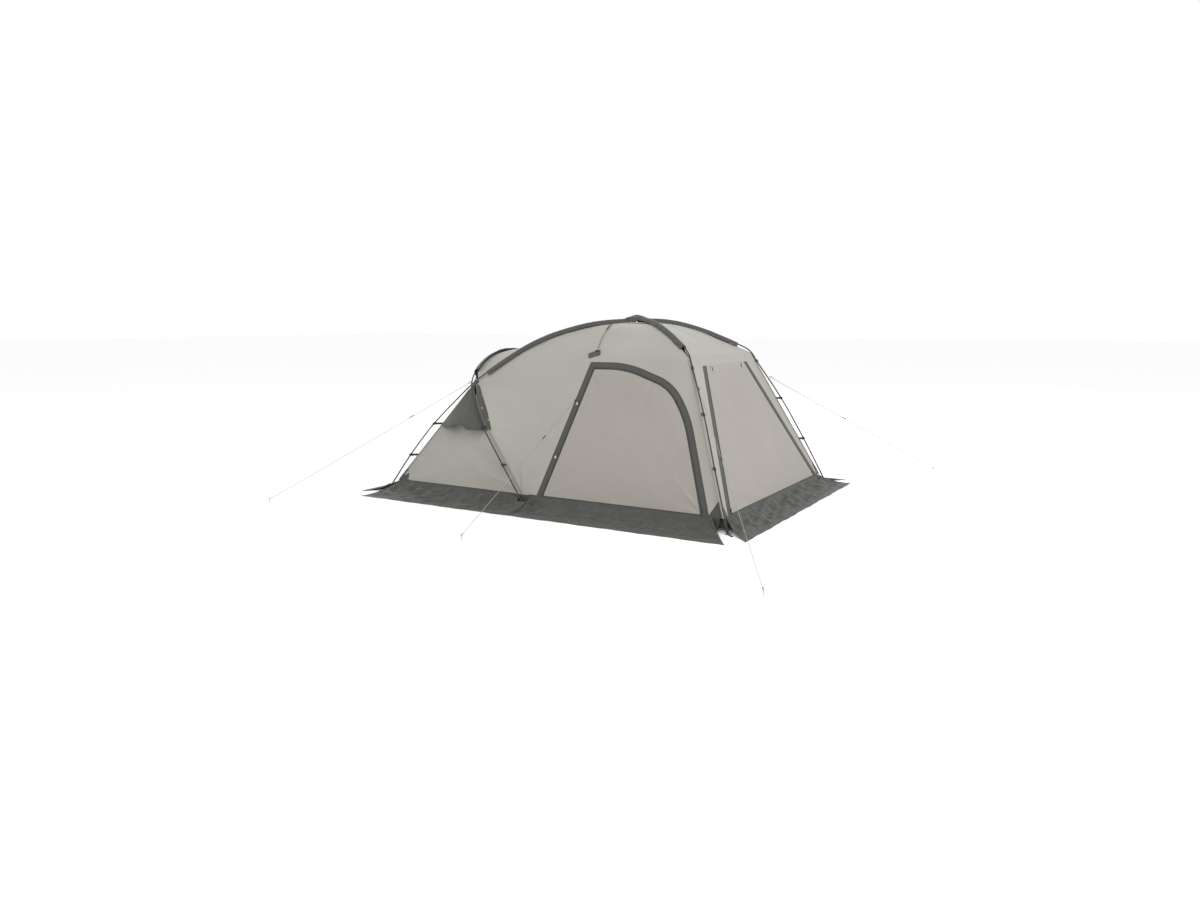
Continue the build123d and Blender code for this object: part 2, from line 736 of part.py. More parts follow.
def slider_place(plane, slope, corner, foot):
    """Plane of a zip slider, its Y up the zip, and its direction of travel."""
    edge_top, edge_foot = Vector(*up_wall([corner], slope)[0]), Vector(*up_wall([foot], slope)[0])
    up = (edge_top - edge_foot).normalized()
    inward = Vector(-up.Y, up.X, 0) if corner[0] > 0 else Vector(up.Y, -up.X, 0)
    start = Vector(*up_wall([grounded(corner, foot, SLIDER_REST)], slope)[0])
    centre = start + inward * (ZIP_INSET + ZIP_WIDTH / 2)
    origin = plane.from_local_coords(centre + Vector(0, 0, SLIDER_LIFT))
    travel = (plane.x_dir * up.X + plane.y_dir * up.Y).normalized()
    return Plane(origin=origin, x_dir=travel.cross(plane.z_dir), z_dir=plane.z_dir), travel


def zip_slider(place, name):
    with BuildPart() as slider:
        with BuildSketch(place):
            RectangleRounded(SLIDER[0], SLIDER[1], 3)
        extrude(amount=SLIDER[2])
        with BuildSketch(place.offset(1.5)):
            with Locations((0, -SLIDER[1] / 2 - PULL[1] / 2 + 2)):
                RectangleRounded(PULL[0], PULL[1], 3)
        extrude(amount=PULL[2])
    finish(slider, name)
    return slider


near_slider_place, near_travel = slider_place(near_plane, SIDE_SLOPE, ARCH[-1], DOOR_FOOT_RIGHT)
slider_near = zip_slider(near_slider_place, "slider_near")
far_twin(slider_near, "slider_far")
rear_corner = (-REAR_HALF_TOP, REAR_BAND_TOP)
rear_foot = (-REAR_HALF_TOP - REAR_HALF_LEAN * (REAR_BAND_TOP - WALL_BOTTOM), WALL_BOTTOM)
rear_slider_place, rear_travel = slider_place(rear_wall_plane, REAR_SLOPE, rear_corner, rear_foot)
slider_rear_near = zip_slider(rear_slider_place, "slider_rear_near")
far_twin(slider_rear_near, "slider_rear_far")

# ------------------------------------------------------------ clips and webbing
CLIP_R = 9.5
CLIP_BORE = 6.3
CLIP_LENGTH = 24
WEBBING = (16, 1.5)
clip_spots = [
    (path_b, V(1078, -660, 1120), "corner"), (path_b, V(1256, -828, 791), "corner"),
    (path_b, V(1418, -991, 421), "corner"), (path_a, V(-1242, -925, 591), "front"),
    (path_a, V(-1420, -1035, 317), "front"), (path_hoop, V(-400, -1072, 315), "crease"),
    (path_hoop, V(-649, -1003, 603), "crease"),
]


def seam_point(kind, height):
    if kind == "corner":
        return rear_seam(height)
    if kind == "front":
        return front_seam(height)
    return at_height(crease, height)


clip_lines = []
for path, spot, kind in clip_spots:
    share = near_share(path, spot)
    clip_lines.append((path @ share, path % share, seam_point(kind, (path @ share).Z)))

with BuildPart() as pole_clips:
    for point, tangent, target in clip_lines:
        with BuildSketch(Plane(origin=point, z_dir=tangent)):
            Circle(CLIP_R)
            Circle(CLIP_BORE, mode=Mode.SUBTRACT)
        extrude(amount=CLIP_LENGTH / 2, both=True)
    mirror(about=Plane.XZ)
finish(pole_clips, "pole_clips")

with BuildPart() as clip_webbing:
    for point, tangent, target in clip_lines:
        reach = target - point
        if reach.length < CLIP_R + 16:
            continue
        line = reach.normalized()
        flat = (tangent - line * tangent.dot(line)).normalized()
        with BuildSketch(Plane(origin=point + line * (CLIP_R + 5), x_dir=flat, z_dir=line)):
            Rectangle(*WEBBING)
        extrude(amount=reach.length - CLIP_R - 10)
    mirror(about=Plane.XZ)
finish(clip_webbing, "clip_webbing")

# Grommet plate and peg loop at each pole foot
PLATE_R = 22
PLATE_BORE = 12.5
STRAP_REACH = 75
feet = [(V(FOOT_X, -FOOT_Y, 0), V(1, -1, 0)), (V(-FOOT_X, -FOOT_Y, 0), V(-1, -1, 0)),
        (V(HOOP_FOOT_X, -FOOT_Y, 0), V(0, -1, 0))]
with BuildPart() as corner_straps:
    for foot, away in feet:
        level = Plane(origin=foot + V(0, 0, 1), x_dir=away.normalized(), z_dir=(0, 0, 1))
        with BuildSketch(level):
            Circle(PLATE_R)
            with Locations((STRAP_REACH / 2, 0)):
                Rectangle(STRAP_REACH, 16)
            Circle(PLATE_BORE, mode=Mode.SUBTRACT)
            with Locations((STRAP_REACH - 12, 0)):
                Circle(4, mode=Mode.SUBTRACT)
        extrude(amount=1.6)
    mirror(about=Plane.XZ)
finish(corner_straps, "corner_straps")

with BuildPart() as apex_strap:
    share = near_share(path_b, crown_high)
    point, tangent = path_b @ share, path_b % share
    normal = outward(point, tangent)
    with BuildSketch(Plane(origin=point + normal * 11.5, x_dir=tangent, z_dir=normal)):
        RectangleRounded(70, 26, 8)
    extrude(amount=3)
finish(apex_strap, "apex_strap")

# ---------------------------------------------------------- loops and toggles
TOGGLE = (30, 7, 6)
near_toggles = [(134, 834), (42, 419)]
rear_toggles = [(-300, 1092), (300, 1092)]
with BuildPart() as door_toggles:
    for x, height in near_toggles:
        with BuildSketch(near_plane.offset(BAND_THICKNESS + 0.5)):
            with Locations((x, height * SIDE_SLOPE)):
                RectangleRounded(TOGGLE[0], TOGGLE[1], 3)
        extrude(amount=TOGGLE[2])
    mirror(about=Plane.XZ)
    for y, height in rear_toggles:
        with BuildSketch(rear_wall_plane.offset(BAND_THICKNESS + 0.5)):
            with Locations((y, height * REAR_SLOPE)):
                RectangleRounded(TOGGLE[1], TOGGLE[0], 3)
        extrude(amount=TOGGLE[2])
finish(door_toggles, "door_toggles")


def wall_point(x, height, lift):
    """Point a little outside the side wall."""
    row = side_row(height)
    for a, b in zip(row, row[1:]):
        if a.X <= x <= b.X:
            return mix(a, b, (x - a.X) / (b.X - a.X)) + LIFT_OUT * lift
    return row[0] + LIFT_OUT * lift


LIFT_OUT = V(0, -0.6, 0.8)
LIFTER_LIFT = 16
lifter_route = [wall_point(x, z, LIFTER_LIFT) for x, z in ((112, 1430), (138, 1365), (172, 1290), (203, 1232))]
with BuildPart() as wall_lifter_near:
    tube_along(bent_path(lifter_route), GUY_R)
    hook = wall_point(205, 1218, LIFTER_LIFT - 3)
    patch = wall_point(205, 1205, 7)
    with BuildSketch(Plane(origin=hook, x_dir=(1, 0, 0), z_dir=LIFT_OUT)):
        RectangleRounded(36, 9, 3)
    extrude(amount=6)
    with BuildSketch(Plane(origin=patch, x_dir=(1, 0, 0), z_dir=V(0, -1, 0.62))):
        Rectangle(75, 42)
    extrude(amount=1.5)
finish(wall_lifter_near, "wall_lifter_near")
far_twin(wall_lifter_near, "wall_lifter_far")

# ------------------------------------------------------------------ vent strut
STRUT = (10, 3)
STRUT_HEIGHT = 622
strut_row = gusset_row(STRUT_HEIGHT)
hood_middle = hood_row(STRUT_HEIGHT)[6]
strut_root = V(hood_middle.X, strut_row[6].Y - 7, STRUT_HEIGHT)
with BuildPart() as vent_strut_near:
    with BuildSketch(Plane(origin=strut_root, x_dir=(1, 0, 0), z_dir=(0, -1, 0))):
        Rectangle(*STRUT)
    extrude(amount=strut_root.Y - hood_middle.Y - 5)
finish(vent_strut_near, "vent_strut_near")
far_twin(vent_strut_near, "vent_strut_far")

# ------------------------------------------------------------------ guy lines
RING_R = 9
RING_WIRE = 1.5
GUY_TAB = 0.5
cross_point = path_a @ near_share(path_a, V(-945, -739, 944))
leg_point = path_b @ near_share(path_b, V(1162, -742, 980))
door_point = near_plane.from_local_coords(V(116, 845 * SIDE_SLOPE, BAND_THICKNESS))
# name: (anchor, peg on the ground, tensioner's share of the line)
GUYS = {
    "cross": (cross_point + V(-6, -14, 14), V(-2040, -2030, 0), 0.30),
    "wall": (door_point, V(100, -2210, 0), 0.30),
    "leg": (leg_point + outward(leg_point, V(0.45, -0.5, -0.74).normalized()) * 16, V(2300, -2340, 0), 0.42),
}
TENSIONER = (11, 6, 40)
guy_rings = []
peg_spots = []
for key, (anchor, peg, share) in GUYS.items():
    aim = (peg + V(0, 0, GUY_END_Z) - anchor).normalized()
    ring = anchor + aim * (POLE_R + RING_R + 6)
    start = ring + aim * (RING_R + RING_WIRE + GUY_TAB)
    end = peg + V(0, 0, GUY_END_Z) - aim * 9
    guy_rings.append((ring, aim))
    peg_spots.append(peg)
    print("guy", key, "length", round((end - start).length), "start", start, "end", end, "aim", aim)
    with BuildPart() as guyline:
        with BuildSketch(Plane(origin=start, z_dir=aim)):
            Circle(GUY_R)
        extrude(amount=(end - start).length)
        with BuildSketch(Plane(origin=peg + V(0, 0, GUY_END_Z - 1.5))):
            Circle(7.5)
            Circle(4.5, mode=Mode.SUBTRACT)
        extrude(amount=3)
    finish(guyline, f"guyline_{key}_near")
    far_twin(guyline, f"guyline_{key}_far")
    with BuildPart() as tensioner:
        with BuildSketch(Plane(origin=start + (end - start) * share, z_dir=aim)):
            RectangleRounded(TENSIONER[0], TENSIONER[1], 2.5)
            Circle(GUY_R + 0.8, mode=Mode.SUBTRACT)
        extrude(amount=TENSIONER[2] / 2, both=True)
    finish(tensioner, f"tensioner_{key}_near")
    far_twin(tensioner, f"tensioner_{key}_far")

with BuildPart() as guy_loops:
    for ring, aim in guy_rings:
        side = aim.cross(V(0, 0, 1)).normalized()
        with BuildSketch(Plane(origin=ring, x_dir=aim, z_dir=side)):
            Circle(RING_R + RING_WIRE)
            Circle(RING_R - RING_WIRE, mode=Mode.SUBTRACT)
        extrude(amount=RING_WIRE, both=True)
    mirror(about=Plane.XZ)
finish(guy_loops, "guy_loops")

with BuildPart() as ground_pegs:
    for peg in peg_spots:
        with BuildSketch(Plane(origin=peg)):
            Circle(PEG_R)
        extrude(amount=PEG_HEIGHT)
        with BuildSketch(Plane(origin=peg + V(0, 0, PEG_HEIGHT - 6))):
            SlotOverall(24, 8)
        extrude(amount=6)
    mirror(about=Plane.XZ)
finish(ground_pegs, "ground_pegs")

print("near slider travel", near_travel, "rear slider travel", rear_travel)
print("strut root", strut_root, "leg point", leg_point)
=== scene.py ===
"""Looks of the frame tent: cloth, seams, zips, lines and fittings around its CAD frame.

Lengths are millimetres, scaled to metres when a mesh is made. The near side is
-Y. A piece whose name holds {side} is made twice, the far one mirrored in Y.
"""
from math import acos, atan2, ceil, cos, pi, radians, sin, tan, tau

import bmesh
import bpy
import numpy as np
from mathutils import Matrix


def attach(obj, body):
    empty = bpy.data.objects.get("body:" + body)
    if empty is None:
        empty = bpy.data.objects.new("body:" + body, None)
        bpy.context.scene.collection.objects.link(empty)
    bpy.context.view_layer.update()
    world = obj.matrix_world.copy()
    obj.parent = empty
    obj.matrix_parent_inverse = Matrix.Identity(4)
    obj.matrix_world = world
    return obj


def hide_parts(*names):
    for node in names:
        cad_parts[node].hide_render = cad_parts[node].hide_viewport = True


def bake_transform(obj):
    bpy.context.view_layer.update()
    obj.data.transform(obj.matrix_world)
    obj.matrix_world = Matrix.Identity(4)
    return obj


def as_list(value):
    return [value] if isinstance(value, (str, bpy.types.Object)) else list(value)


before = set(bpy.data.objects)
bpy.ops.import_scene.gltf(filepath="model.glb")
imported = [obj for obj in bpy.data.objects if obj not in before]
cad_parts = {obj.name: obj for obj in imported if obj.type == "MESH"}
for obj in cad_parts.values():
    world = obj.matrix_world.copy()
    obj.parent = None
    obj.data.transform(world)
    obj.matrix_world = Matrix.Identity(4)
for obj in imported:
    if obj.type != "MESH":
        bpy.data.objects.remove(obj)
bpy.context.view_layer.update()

MM = 0.001
MIRROR = np.array((1.0, -1.0, 1.0))
SIDES = {"near": 1, "far": -1}
COARSE = 1
ARC_SHARE = 0.45                     # of the shorter leg beside a rounded corner
scene = bpy.context.scene


# ------------------------------------------------------------ points and runs
def V(*xyz):
    return np.array(xyz, float)


UP = V(0, 0, 1)


def size(v):
    return np.linalg.norm(v, axis=-1, keepdims=True)


def unit(v):
    return v / np.maximum(size(v), 1e-9)


def flip(point):
    return point * MIRROR


def mix(a, b, t):
    return a * (1 - t) + b * t


def run_length(points):
    """Distance along a line from its first point to each of its points."""
    return np.r_[0, np.cumsum(size(np.diff(points, axis=0))[:, 0])]


def walk(points, distance):
    """Places at distances along a line of points."""
    points = np.array(points)
    stops = run_length(points)
    return np.stack([np.interp(distance, stops, points[:, k]) for k in range(3)], -1)


def resample(points, step):
    total = run_length(points)[-1]
    return walk(points, np.linspace(0, total, max(3, int(total / step))))


def turn_between(a, b):
    return acos(min(1.0, float(a @ b)))


def corner_reach(before, corner, after):
    """How much of its two legs a corner's arc takes."""
    return ARC_SHARE * min(float(size(corner - before)[0]), float(size(after - corner)[0]))


class Run:
    """A run of points whose corners are tangent arcs, read at any share of its length."""

    def __init__(self, points, step=12):
        dense = [points[0]]
        for before, corner, after in zip(points, points[1:], points[2:]):
            a, b = unit(corner - before), unit(after - corner)
            turn = turn_between(a, b)
            reach = corner_reach(before, corner, after)
            radius = reach / tan(turn / 2)
            inward = unit(b - a * (a @ b))
            centre = corner - a * reach + inward * radius
            count = max(2, ceil(turn * radius / step))
            dense += [centre + radius * (a * sin(turn * k / count) - inward * cos(turn * k / count))
                      for k in range(count + 1)]
        self.points = np.array(dense + [points[-1]])
        self.length = run_length(self.points)[-1]

    def at(self, share):
        return walk(self.points, np.asarray(share, float) * self.length)

    def tangent(self, share):
        near = 6 / self.length
        share = np.asarray(share, float)
        return unit(self.at(np.minimum(share + near, 1)) - self.at(np.maximum(share - near, 0)))

    def near(self, point):
        shares = np.linspace(0, 1, 2001)
        return float(shares[np.argmin(size(self.at(shares) - point)[:, 0])])


# ------------------------------------------------- the frame's lines, as in CAD
FOOT_X, FOOT_Y, HOOP_FOOT_X = 1593, 1143, -128
SIDE_LEAN, REAR_LEAN, FRONT_LEAN = 0.4225, 0.4566, 0.6786
WALL_INSET, WALL_BOTTOM, SEAM_GAP = 15, 95, 1.0
SHOULDER = 1190                      # height where a rear corner's seam ends at the sleeves
SEW_ASIDE, SEW_BELOW = 12, 24        # from a pole's middle to the line a panel is sewn on
APEX = V(246, 0, 1500)
TENT_CORE = V(150, 0, 450)
SIDE_SLOPE = (1 + SIDE_LEAN ** 2) ** 0.5
REAR_SLOPE = (1 + REAR_LEAN ** 2) ** 0.5
NEAR_OUT = unit(V(0, -1, SIDE_LEAN))
REAR_OUT = unit(V(1, 0, REAR_LEAN))
FRONT_OUT = unit(V(-1, 0, FRONT_LEAN))

LEFT_STATIONS = [
    V(-FOOT_X, -FOOT_Y, 0), V(-1420, -1035, 317), V(-1242, -925, 591), V(-945, -739, 944),
    V(-744, -615, 1112), V(-560, -503, 1252), V(-372, -384, 1355), V(-75, -200, 1455),
]
RIGHT_STATIONS = [
    V(486, -170, 1469), V(706, -343, 1396), V(948, -530, 1270), V(1036, -622, 1210),
    V(1078, -660, 1120), V(1256, -828, 791), V(1418, -991, 421), V(FOOT_X, -FOOT_Y, 0),
]
HOOP_STATIONS = [
    V(HOOP_FOOT_X, -FOOT_Y, 0), V(-400, -1072, 315), V(-649, -1003, 603), V(-826, -905, 810),
    V(-957, -757, 958), V(-1040, -560, 1060), V(-1110, -330, 1138), V(-1146, -105, 1180),
]
pole_a = Run(LEFT_STATIONS + [APEX - V(0, 0, 22)] + [flip(p) for p in RIGHT_STATIONS])
pole_b = Run([flip(p) for p in LEFT_STATIONS] + [APEX] + RIGHT_STATIONS)
hoop = Run(HOOP_STATIONS + [flip(p) for p in reversed(HOOP_STATIONS)])


def outward(points, tangents):
    """Away from the middle of the tent, square to the pole."""
    radial = points - TENT_CORE
    return unit(radial - tangents * np.sum(radial * tangents, -1, keepdims=True))


def sleeve_edge(run, side, count=160):
    """The line a panel is sewn to, beside and below a sleeved pole."""
    shares = np.linspace(0, 1, count)
    points, tangents = run.at(shares), run.tangent(shares)
    normal = outward(points, tangents)
    return points + np.cross(normal, tangents) * (side * SEW_ASIDE) - normal * SEW_BELOW


def at_height(points, height):
    for a, b in zip(points, points[1:]):
        low, high = sorted((a[2], b[2]))
        if low <= height <= high and high > low:
            return mix(a, b, (height - a[2]) / (b[2] - a[2]))
    return min(points, key=lambda p: abs(p[2] - height))


def side_plane(height):
    return -(FOOT_Y - WALL_INSET) + SIDE_LEAN * height


def rear_plane(height):
    return FOOT_X - WALL_INSET - REAR_LEAN * height


def front_seam(height):
    return V(-(FOOT_X - WALL_INSET) + FRONT_LEAN * height, side_plane(height), height)


def rear_seam(height):
    return V(rear_plane(height), side_plane(height), height)


edge_side, edge_roof = sleeve_edge(pole_a, -1), sleeve_edge(pole_a, +1)
left_side_edge = [p for p in edge_side if p[1] < 0 and p[2] > 900]
left_roof_edge = [p for p in edge_roof if p[1] < 0 and p[2] > 930]
right_side_edge = [flip(p) for p in edge_roof if p[1] > 0 and p[2] > 1262]
right_rear_edge = [flip(p) for p in edge_side if p[1] > 0 and p[2] > 1262]
hoop_front_edge = [p for p in sleeve_edge(hoop, +1) if p[2] > 960]
hoop_roof_edge = [p for p in sleeve_edge(hoop, -1) if p[2] > 1010]
HOOP_TO_CREASE = V(22, 32, -5)
hoop_beside = [p + HOOP_TO_CREASE for p in hoop.at(np.linspace(0, 0.5, 120))]
crease = [p for p in hoop_beside if p[2] < 860]
hood_crease = [p for p in hoop_beside if p[2] < 960]
side_left = crease + left_side_edge
side_right = right_side_edge + [rear_seam(SHOULDER), rear_seam(0)]
rear_near = right_rear_edge + [rear_seam(SHOULDER), rear_seam(0)]


# ----------------------------------------------------------------- materials
class Finish:
    """A procedural material: nodes feed the colour, roughness and bump of one shader."""

    def __init__(self, name, **constants):
        self.material = bpy.data.materials.new(name)
        self.material.use_nodes = True
        self.tree = self.material.node_tree
        self.shader = self.tree.nodes["Principled BSDF"]
        for socket, value in constants.items():
            self.shader.inputs[socket.replace("_", " ")].default_value = value
        self.place = self.tree.nodes.new("ShaderNodeTexCoord").outputs["Object"]
        self.normal = None

    def node(self, kind, inputs, **settings):
        node = self.tree.nodes.new(kind)
        for key, value in settings.items():
            setattr(node, key, value)
        for key, value in inputs.items():
            if isinstance(value, bpy.types.NodeSocket):
                self.tree.links.new(value, node.inputs[key])
            else:
                node.inputs[key].default_value = value
        return node

    def math(self, operation, a, b=0.0, clamp=False):
        return self.node("ShaderNodeMath", {0: a, 1: b}, operation=operation, use_clamp=clamp).outputs[0]

    def uv(self, layer):
        flat = self.node("ShaderNodeUVMap", {}, uv_map=layer).outputs[0]
        parts = self.node("ShaderNodeSeparateXYZ", {0: flat})
        return parts.outputs[0], parts.outputs[1]

    def noise(self, scale, detail=3.0, stretch=None):
        place = self.place
        if stretch:
            place = self.node("ShaderNodeMapping", {"Vector": place, "Scale": stretch}).outputs[0]
        inputs = {"Vector": place, "Scale": scale, "Detail": detail}
        return self.node("ShaderNodeTexNoise", inputs).outputs["Fac"]

    def wave(self, coordinate, pitch):
        return self.math("SINE", self.math("MULTIPLY", coordinate, tau / pitch))

    def line(self, coordinate, pitch, width):
        """1 on thin lines a pitch apart, with soft sides."""
        away = self.math("PINGPONG", coordinate, pitch / 2)
        return self.math("SUBTRACT", 1.0, self.math("DIVIDE", away, width), clamp=True)

    def near(self, coordinate, value, width):
        away = self.math("ABSOLUTE", self.math("SUBTRACT", coordinate, value))
        return self.math("SUBTRACT", 1.0, self.math("DIVIDE", away, width), clamp=True)

    def sum(self, *terms):
        total = 0.0
        for weight, term in terms:
            total = self.math("ADD", total, self.math("MULTIPLY", term, weight))
        return total

    def blend(self, factor, low, high):
        node = self.node("ShaderNodeMix", {0: factor, 6: low, 7: high}, data_type="RGBA")
        return node.outputs[2]

    def colour(self, source):
        self.tree.links.new(source, self.shader.inputs["Base Color"])

    def rough(self, factor, low, high):
        spread = self.node("ShaderNodeMapRange", {"Value": factor, "To Min": low, "To Max": high})
        self.tree.links.new(spread.outputs[0], self.shader.inputs["Roughness"])

    def bump(self, height, distance, strength=1.0):
        inputs = {"Height": height, "Distance": distance, "Strength": strength}
        if self.normal:
            inputs["Normal"] = self.normal
        self.normal = self.node("ShaderNodeBump", inputs).outputs[0]
        self.tree.links.new(self.normal, self.shader.inputs["Normal"])


def tint(colour, factor):
    return (*(min(1.0, c * factor) for c in colour), 1.0)


STITCH_ROWS, STITCH_WIDTH = (0.004, 0.0095), 0.0009      # metres from a sewn edge
# metres from a sewn edge to its fold line, which gets painted shade
FOLD_LINE = 0.0115


def cloth_finish(name, colour, thread=None, weave=0.0011, ripstop=0.0062, crumple=0.0012, roughness=0.62,
                 sheen=0.12):
    """Woven cloth; thread gives the colour of stitching along its edges, where a fold line is also darkened
    as painted shade.
    """
    look = Finish(name, Sheen_Weight=sheen, Sheen_Roughness=0.45, Specular_IOR_Level=0.32)
    u, v = look.uv("UVMap")
    threads = look.math("MULTIPLY", look.wave(u, weave), look.wave(v, weave))
    grid = look.math("MAXIMUM", look.line(u, ripstop, 0.0005), look.line(v, ripstop, 0.0005))
    broad, fine = look.noise(1.7, 5.0), look.noise(38.0, 4.0)
    level = look.sum((0.75, broad), (0.22, fine), (0.1, grid), (0.05, threads))
    shade = look.blend(level, tint(colour, 0.86), tint(colour, 1.1))
    look.bump(threads, 0.00012, 0.6)
    look.bump(grid, 0.0002, 0.7)
    look.bump(look.noise(9.0, 6.0), crumple, 0.55)
    if thread:
        run, edge = look.uv("seam")
        rows = look.math("MAXIMUM", *(look.near(edge, row, STITCH_WIDTH) for row in STITCH_ROWS))
        dashes = look.math("GREATER_THAN", look.math("PINGPONG", run, 0.0026), 0.0007)
        stitches = look.math("MULTIPLY", rows, dashes)
        # painted shade: the fold line is darkened to 0.7 of the cloth's colour, and dented in the bump
        shaded_fold = look.near(edge, FOLD_LINE, STITCH_WIDTH)
        shade = look.blend(shaded_fold, shade, tint(colour, 0.7))
        shade = look.blend(stitches, shade, tint(thread, 1.0))
        look.bump(stitches, 0.0005)
        look.bump(shaded_fold, -0.0004)
    look.colour(shade)
    look.rough(look.sum((0.6, fine), (0.4, broad)), roughness - 0.08, roughness + 0.1)
    return look.material


def mesh_finish(name, colour):
    """Fine insect netting: dark cords round holes painted darker still, as painted shade of the tent's inside
    seen through them.
    """
    look = Finish(name, Specular_IOR_Level=0.25)
    u, v = look.uv("UVMap")
    net = look.math("MAXIMUM", look.line(u, 0.0024, 0.0007), look.line(v, 0.0024, 0.0007))
    # painted shade: the holes get 0.35 of the colour, for the shaded inside seen through them
    look.colour(look.blend(net, tint(colour, 0.35), tint(colour, 1.1)))
    look.rough(look.noise(30.0), 0.6, 0.85)
    look.bump(net, 0.0004)
    return look.material


def webbing_finish(name, colour, thread):
    """Flat woven tape with a herringbone rib and stitched edges."""
    look = Finish(name, Sheen_Weight=0.1, Specular_IOR_Level=0.3)
    u, v = look.uv("UVMap")
    slant = look.math("ADD", u, look.math("PINGPONG", v, 0.004))
    ribs = look.wave(slant, 0.0022)
    run, edge = look.uv("seam")
    rows = look.near(edge, 0.0022, 0.0006)
    dashes = look.math("GREATER_THAN", look.math("PINGPONG", run, 0.002), 0.0006)
    stitches = look.math("MULTIPLY", rows, dashes)
    wear = look.noise(55.0, 5.0)
    shade = look.blend(look.sum((0.3, ribs), (0.7, wear)), tint(colour, 0.7), tint(colour, 1.25))
    look.colour(look.blend(stitches, shade, tint(thread, 1.0)))
    look.rough(wear, 0.6, 0.85)
    look.bump(ribs, 0.0003)
    look.bump(stitches, 0.0004)
    return look.material


def cord_finish(name, colour, fleck):
    """Braided cord with a fleck in its cover."""
    look = Finish(name, Sheen_Weight=0.1)
    braid = look.noise(900.0, 1.0)
    worn = look.noise(60.0, 3.0)
    spots = look.math("GREATER_THAN", look.noise(260.0, 2.0), 0.62)
    shade = look.blend(worn, tint(colour, 0.88), tint(colour, 1.05))
    look.colour(look.blend(look.math("MULTIPLY", spots, 0.5), shade, tint(fleck, 1.0)))
    look.rough(worn, 0.55, 0.8)
    look.bump(braid, 0.0006)
    return look.material


def metal_finish(name, colour, roughness, brushed=(1.0, 1.0, 1.0), worn=1.35, metallic=1.0):
    """Anodised or bare metal with drawing lines, smudges and rubbed places."""
    look = Finish(name, Metallic=metallic)
    streaks = look.noise(160.0, 4.0, brushed)
    smudge = look.noise(11.0, 5.0)
    rubbed = look.math("MULTIPLY", look.math("SUBTRACT", smudge, 0.56, clamp=True), 4.0, clamp=True)
    shade = look.blend(streaks, tint(colour, 0.85), tint(colour, 1.1))
    look.colour(look.blend(rubbed, shade, tint(colour, worn)))
    look.rough(look.sum((0.6, streaks), (0.4, smudge)), roughness - 0.07, roughness + 0.12)
    look.bump(streaks, 0.0001, 0.5)
    return look.material


def plastic_finish(name, colour, roughness=0.45):
    """Moulded plastic with a fine spark-eroded texture and scuffs."""
    look = Finish(name, Specular_IOR_Level=0.45)
    grain, scuffs = look.noise(700.0, 2.0), look.noise(35.0, 6.0)
    look.colour(look.blend(scuffs, tint(colour, 0.8), tint(colour, 1.3)))
    look.rough(look.sum((0.5, grain), (0.5, scuffs)), roughness - 0.06, roughness + 0.14)
    look.bump(grain, 0.0002, 0.5)
    look.bump(scuffs, 0.0003, 0.4)
    return look.material


LIGHT_CLOTH = (0.345, 0.329, 0.300)
# painted shade: the doors' cloth is darker than LIGHT_CLOTH, for the shade low on the wall
DOOR_CLOTH_SHADED = (0.315, 0.294, 0.266)
DARK_CLOTH = (0.064, 0.066, 0.056)
SKIRT_CLOTH = (0.054, 0.056, 0.049)
PALE_THREAD = (0.30, 0.29, 0.27)
DARK_THREAD = (0.022, 0.023, 0.021)
shell_cloth = cloth_finish("shell_cloth", LIGHT_CLOTH)
shell_trim = cloth_finish("shell_trim_cloth", tint(LIGHT_CLOTH, 0.93)[:3], thread=PALE_THREAD)
# the doors' finish, in the darker colour that paints shade
door_cloth = cloth_finish("door_cloth", DOOR_CLOTH_SHADED)
dark_cloth = cloth_finish("dark_cloth", DARK_CLOTH, thread=DARK_THREAD, crumple=0.0016)
hood_cloth = cloth_finish("hood_cloth", DARK_CLOTH, thread=DARK_THREAD, crumple=0.0022)
skirt_cloth = cloth_finish("skirt_cloth", SKIRT_CLOTH, thread=DARK_THREAD, crumple=0.0045, roughness=0.55)
netting = mesh_finish("netting", (0.05, 0.052, 0.05))
dark_webbing = webbing_finish("dark_webbing", (0.045, 0.046, 0.043), (0.12, 0.12, 0.11))
pale_webbing = webbing_finish("pale_webbing", (0.62, 0.61, 0.58), (0.4, 0.4, 0.38))
pole_metal = metal_finish("pole_metal", (0.046, 0.047, 0.046), 0.46, (1.0, 1.0, 12.0), metallic=0.45)
spigot_metal = metal_finish("spigot_metal", (0.62, 0.62, 0.61), 0.3)
peg_metal = metal_finish("peg_metal", (0.5, 0.5, 0.5), 0.36, (6.0, 6.0, 1.0))
slider_metal = metal_finish("slider_metal", (0.08, 0.08, 0.08), 0.4)
black_plastic = plastic_finish("black_plastic", (0.022, 0.022, 0.022))
zip_plastic = plastic_finish("zip_plastic", (0.03, 0.031, 0.029), 0.38)
white_cord = cord_finish("white_cord", (0.27, 0.27, 0.26), (0.16, 0.16, 0.155))
grey_cord = cord_finish("grey_cord", (0.022, 0.022, 0.022), (0.12, 0.12, 0.11))
shock_finish = cord_finish("shock_finish", (0.03, 0.03, 0.03), (0.3, 0.3, 0.3))

# what a piece is made of: its finish here and its slot in the library
SHELL, SHELL_EDGE = (shell_cloth, "shell_fabric"), (shell_trim, "shell_fabric")
TRIM, SKIRT = (dark_cloth, "trim_fabric"), (skirt_cloth, "skirt_fabric")
WEBBING, PLASTIC = (dark_webbing, "webbing"), (black_plastic, "dark_plastic")
WHITE_CORD, GREY_CORD = (white_cord, "cord_white"), (grey_cord, "shock_cord")
PEG_METAL = (peg_metal, "peg_alloy")


# -------------------------------------------------------------- making meshes
WELD_REACH = 0.0004      # metres between corners that become one


def grid_faces(rows, columns, wrap=False, keep=None):
    faces = []
    for r in range(rows - 1):
        for c in range(columns if wrap else columns - 1):
            if keep is None or keep[r, c]:
                d = (c + 1) % columns
                low, high = r * columns, (r + 1) * columns
                faces.append((low + c, low + d, high + d, high + c))
    return faces


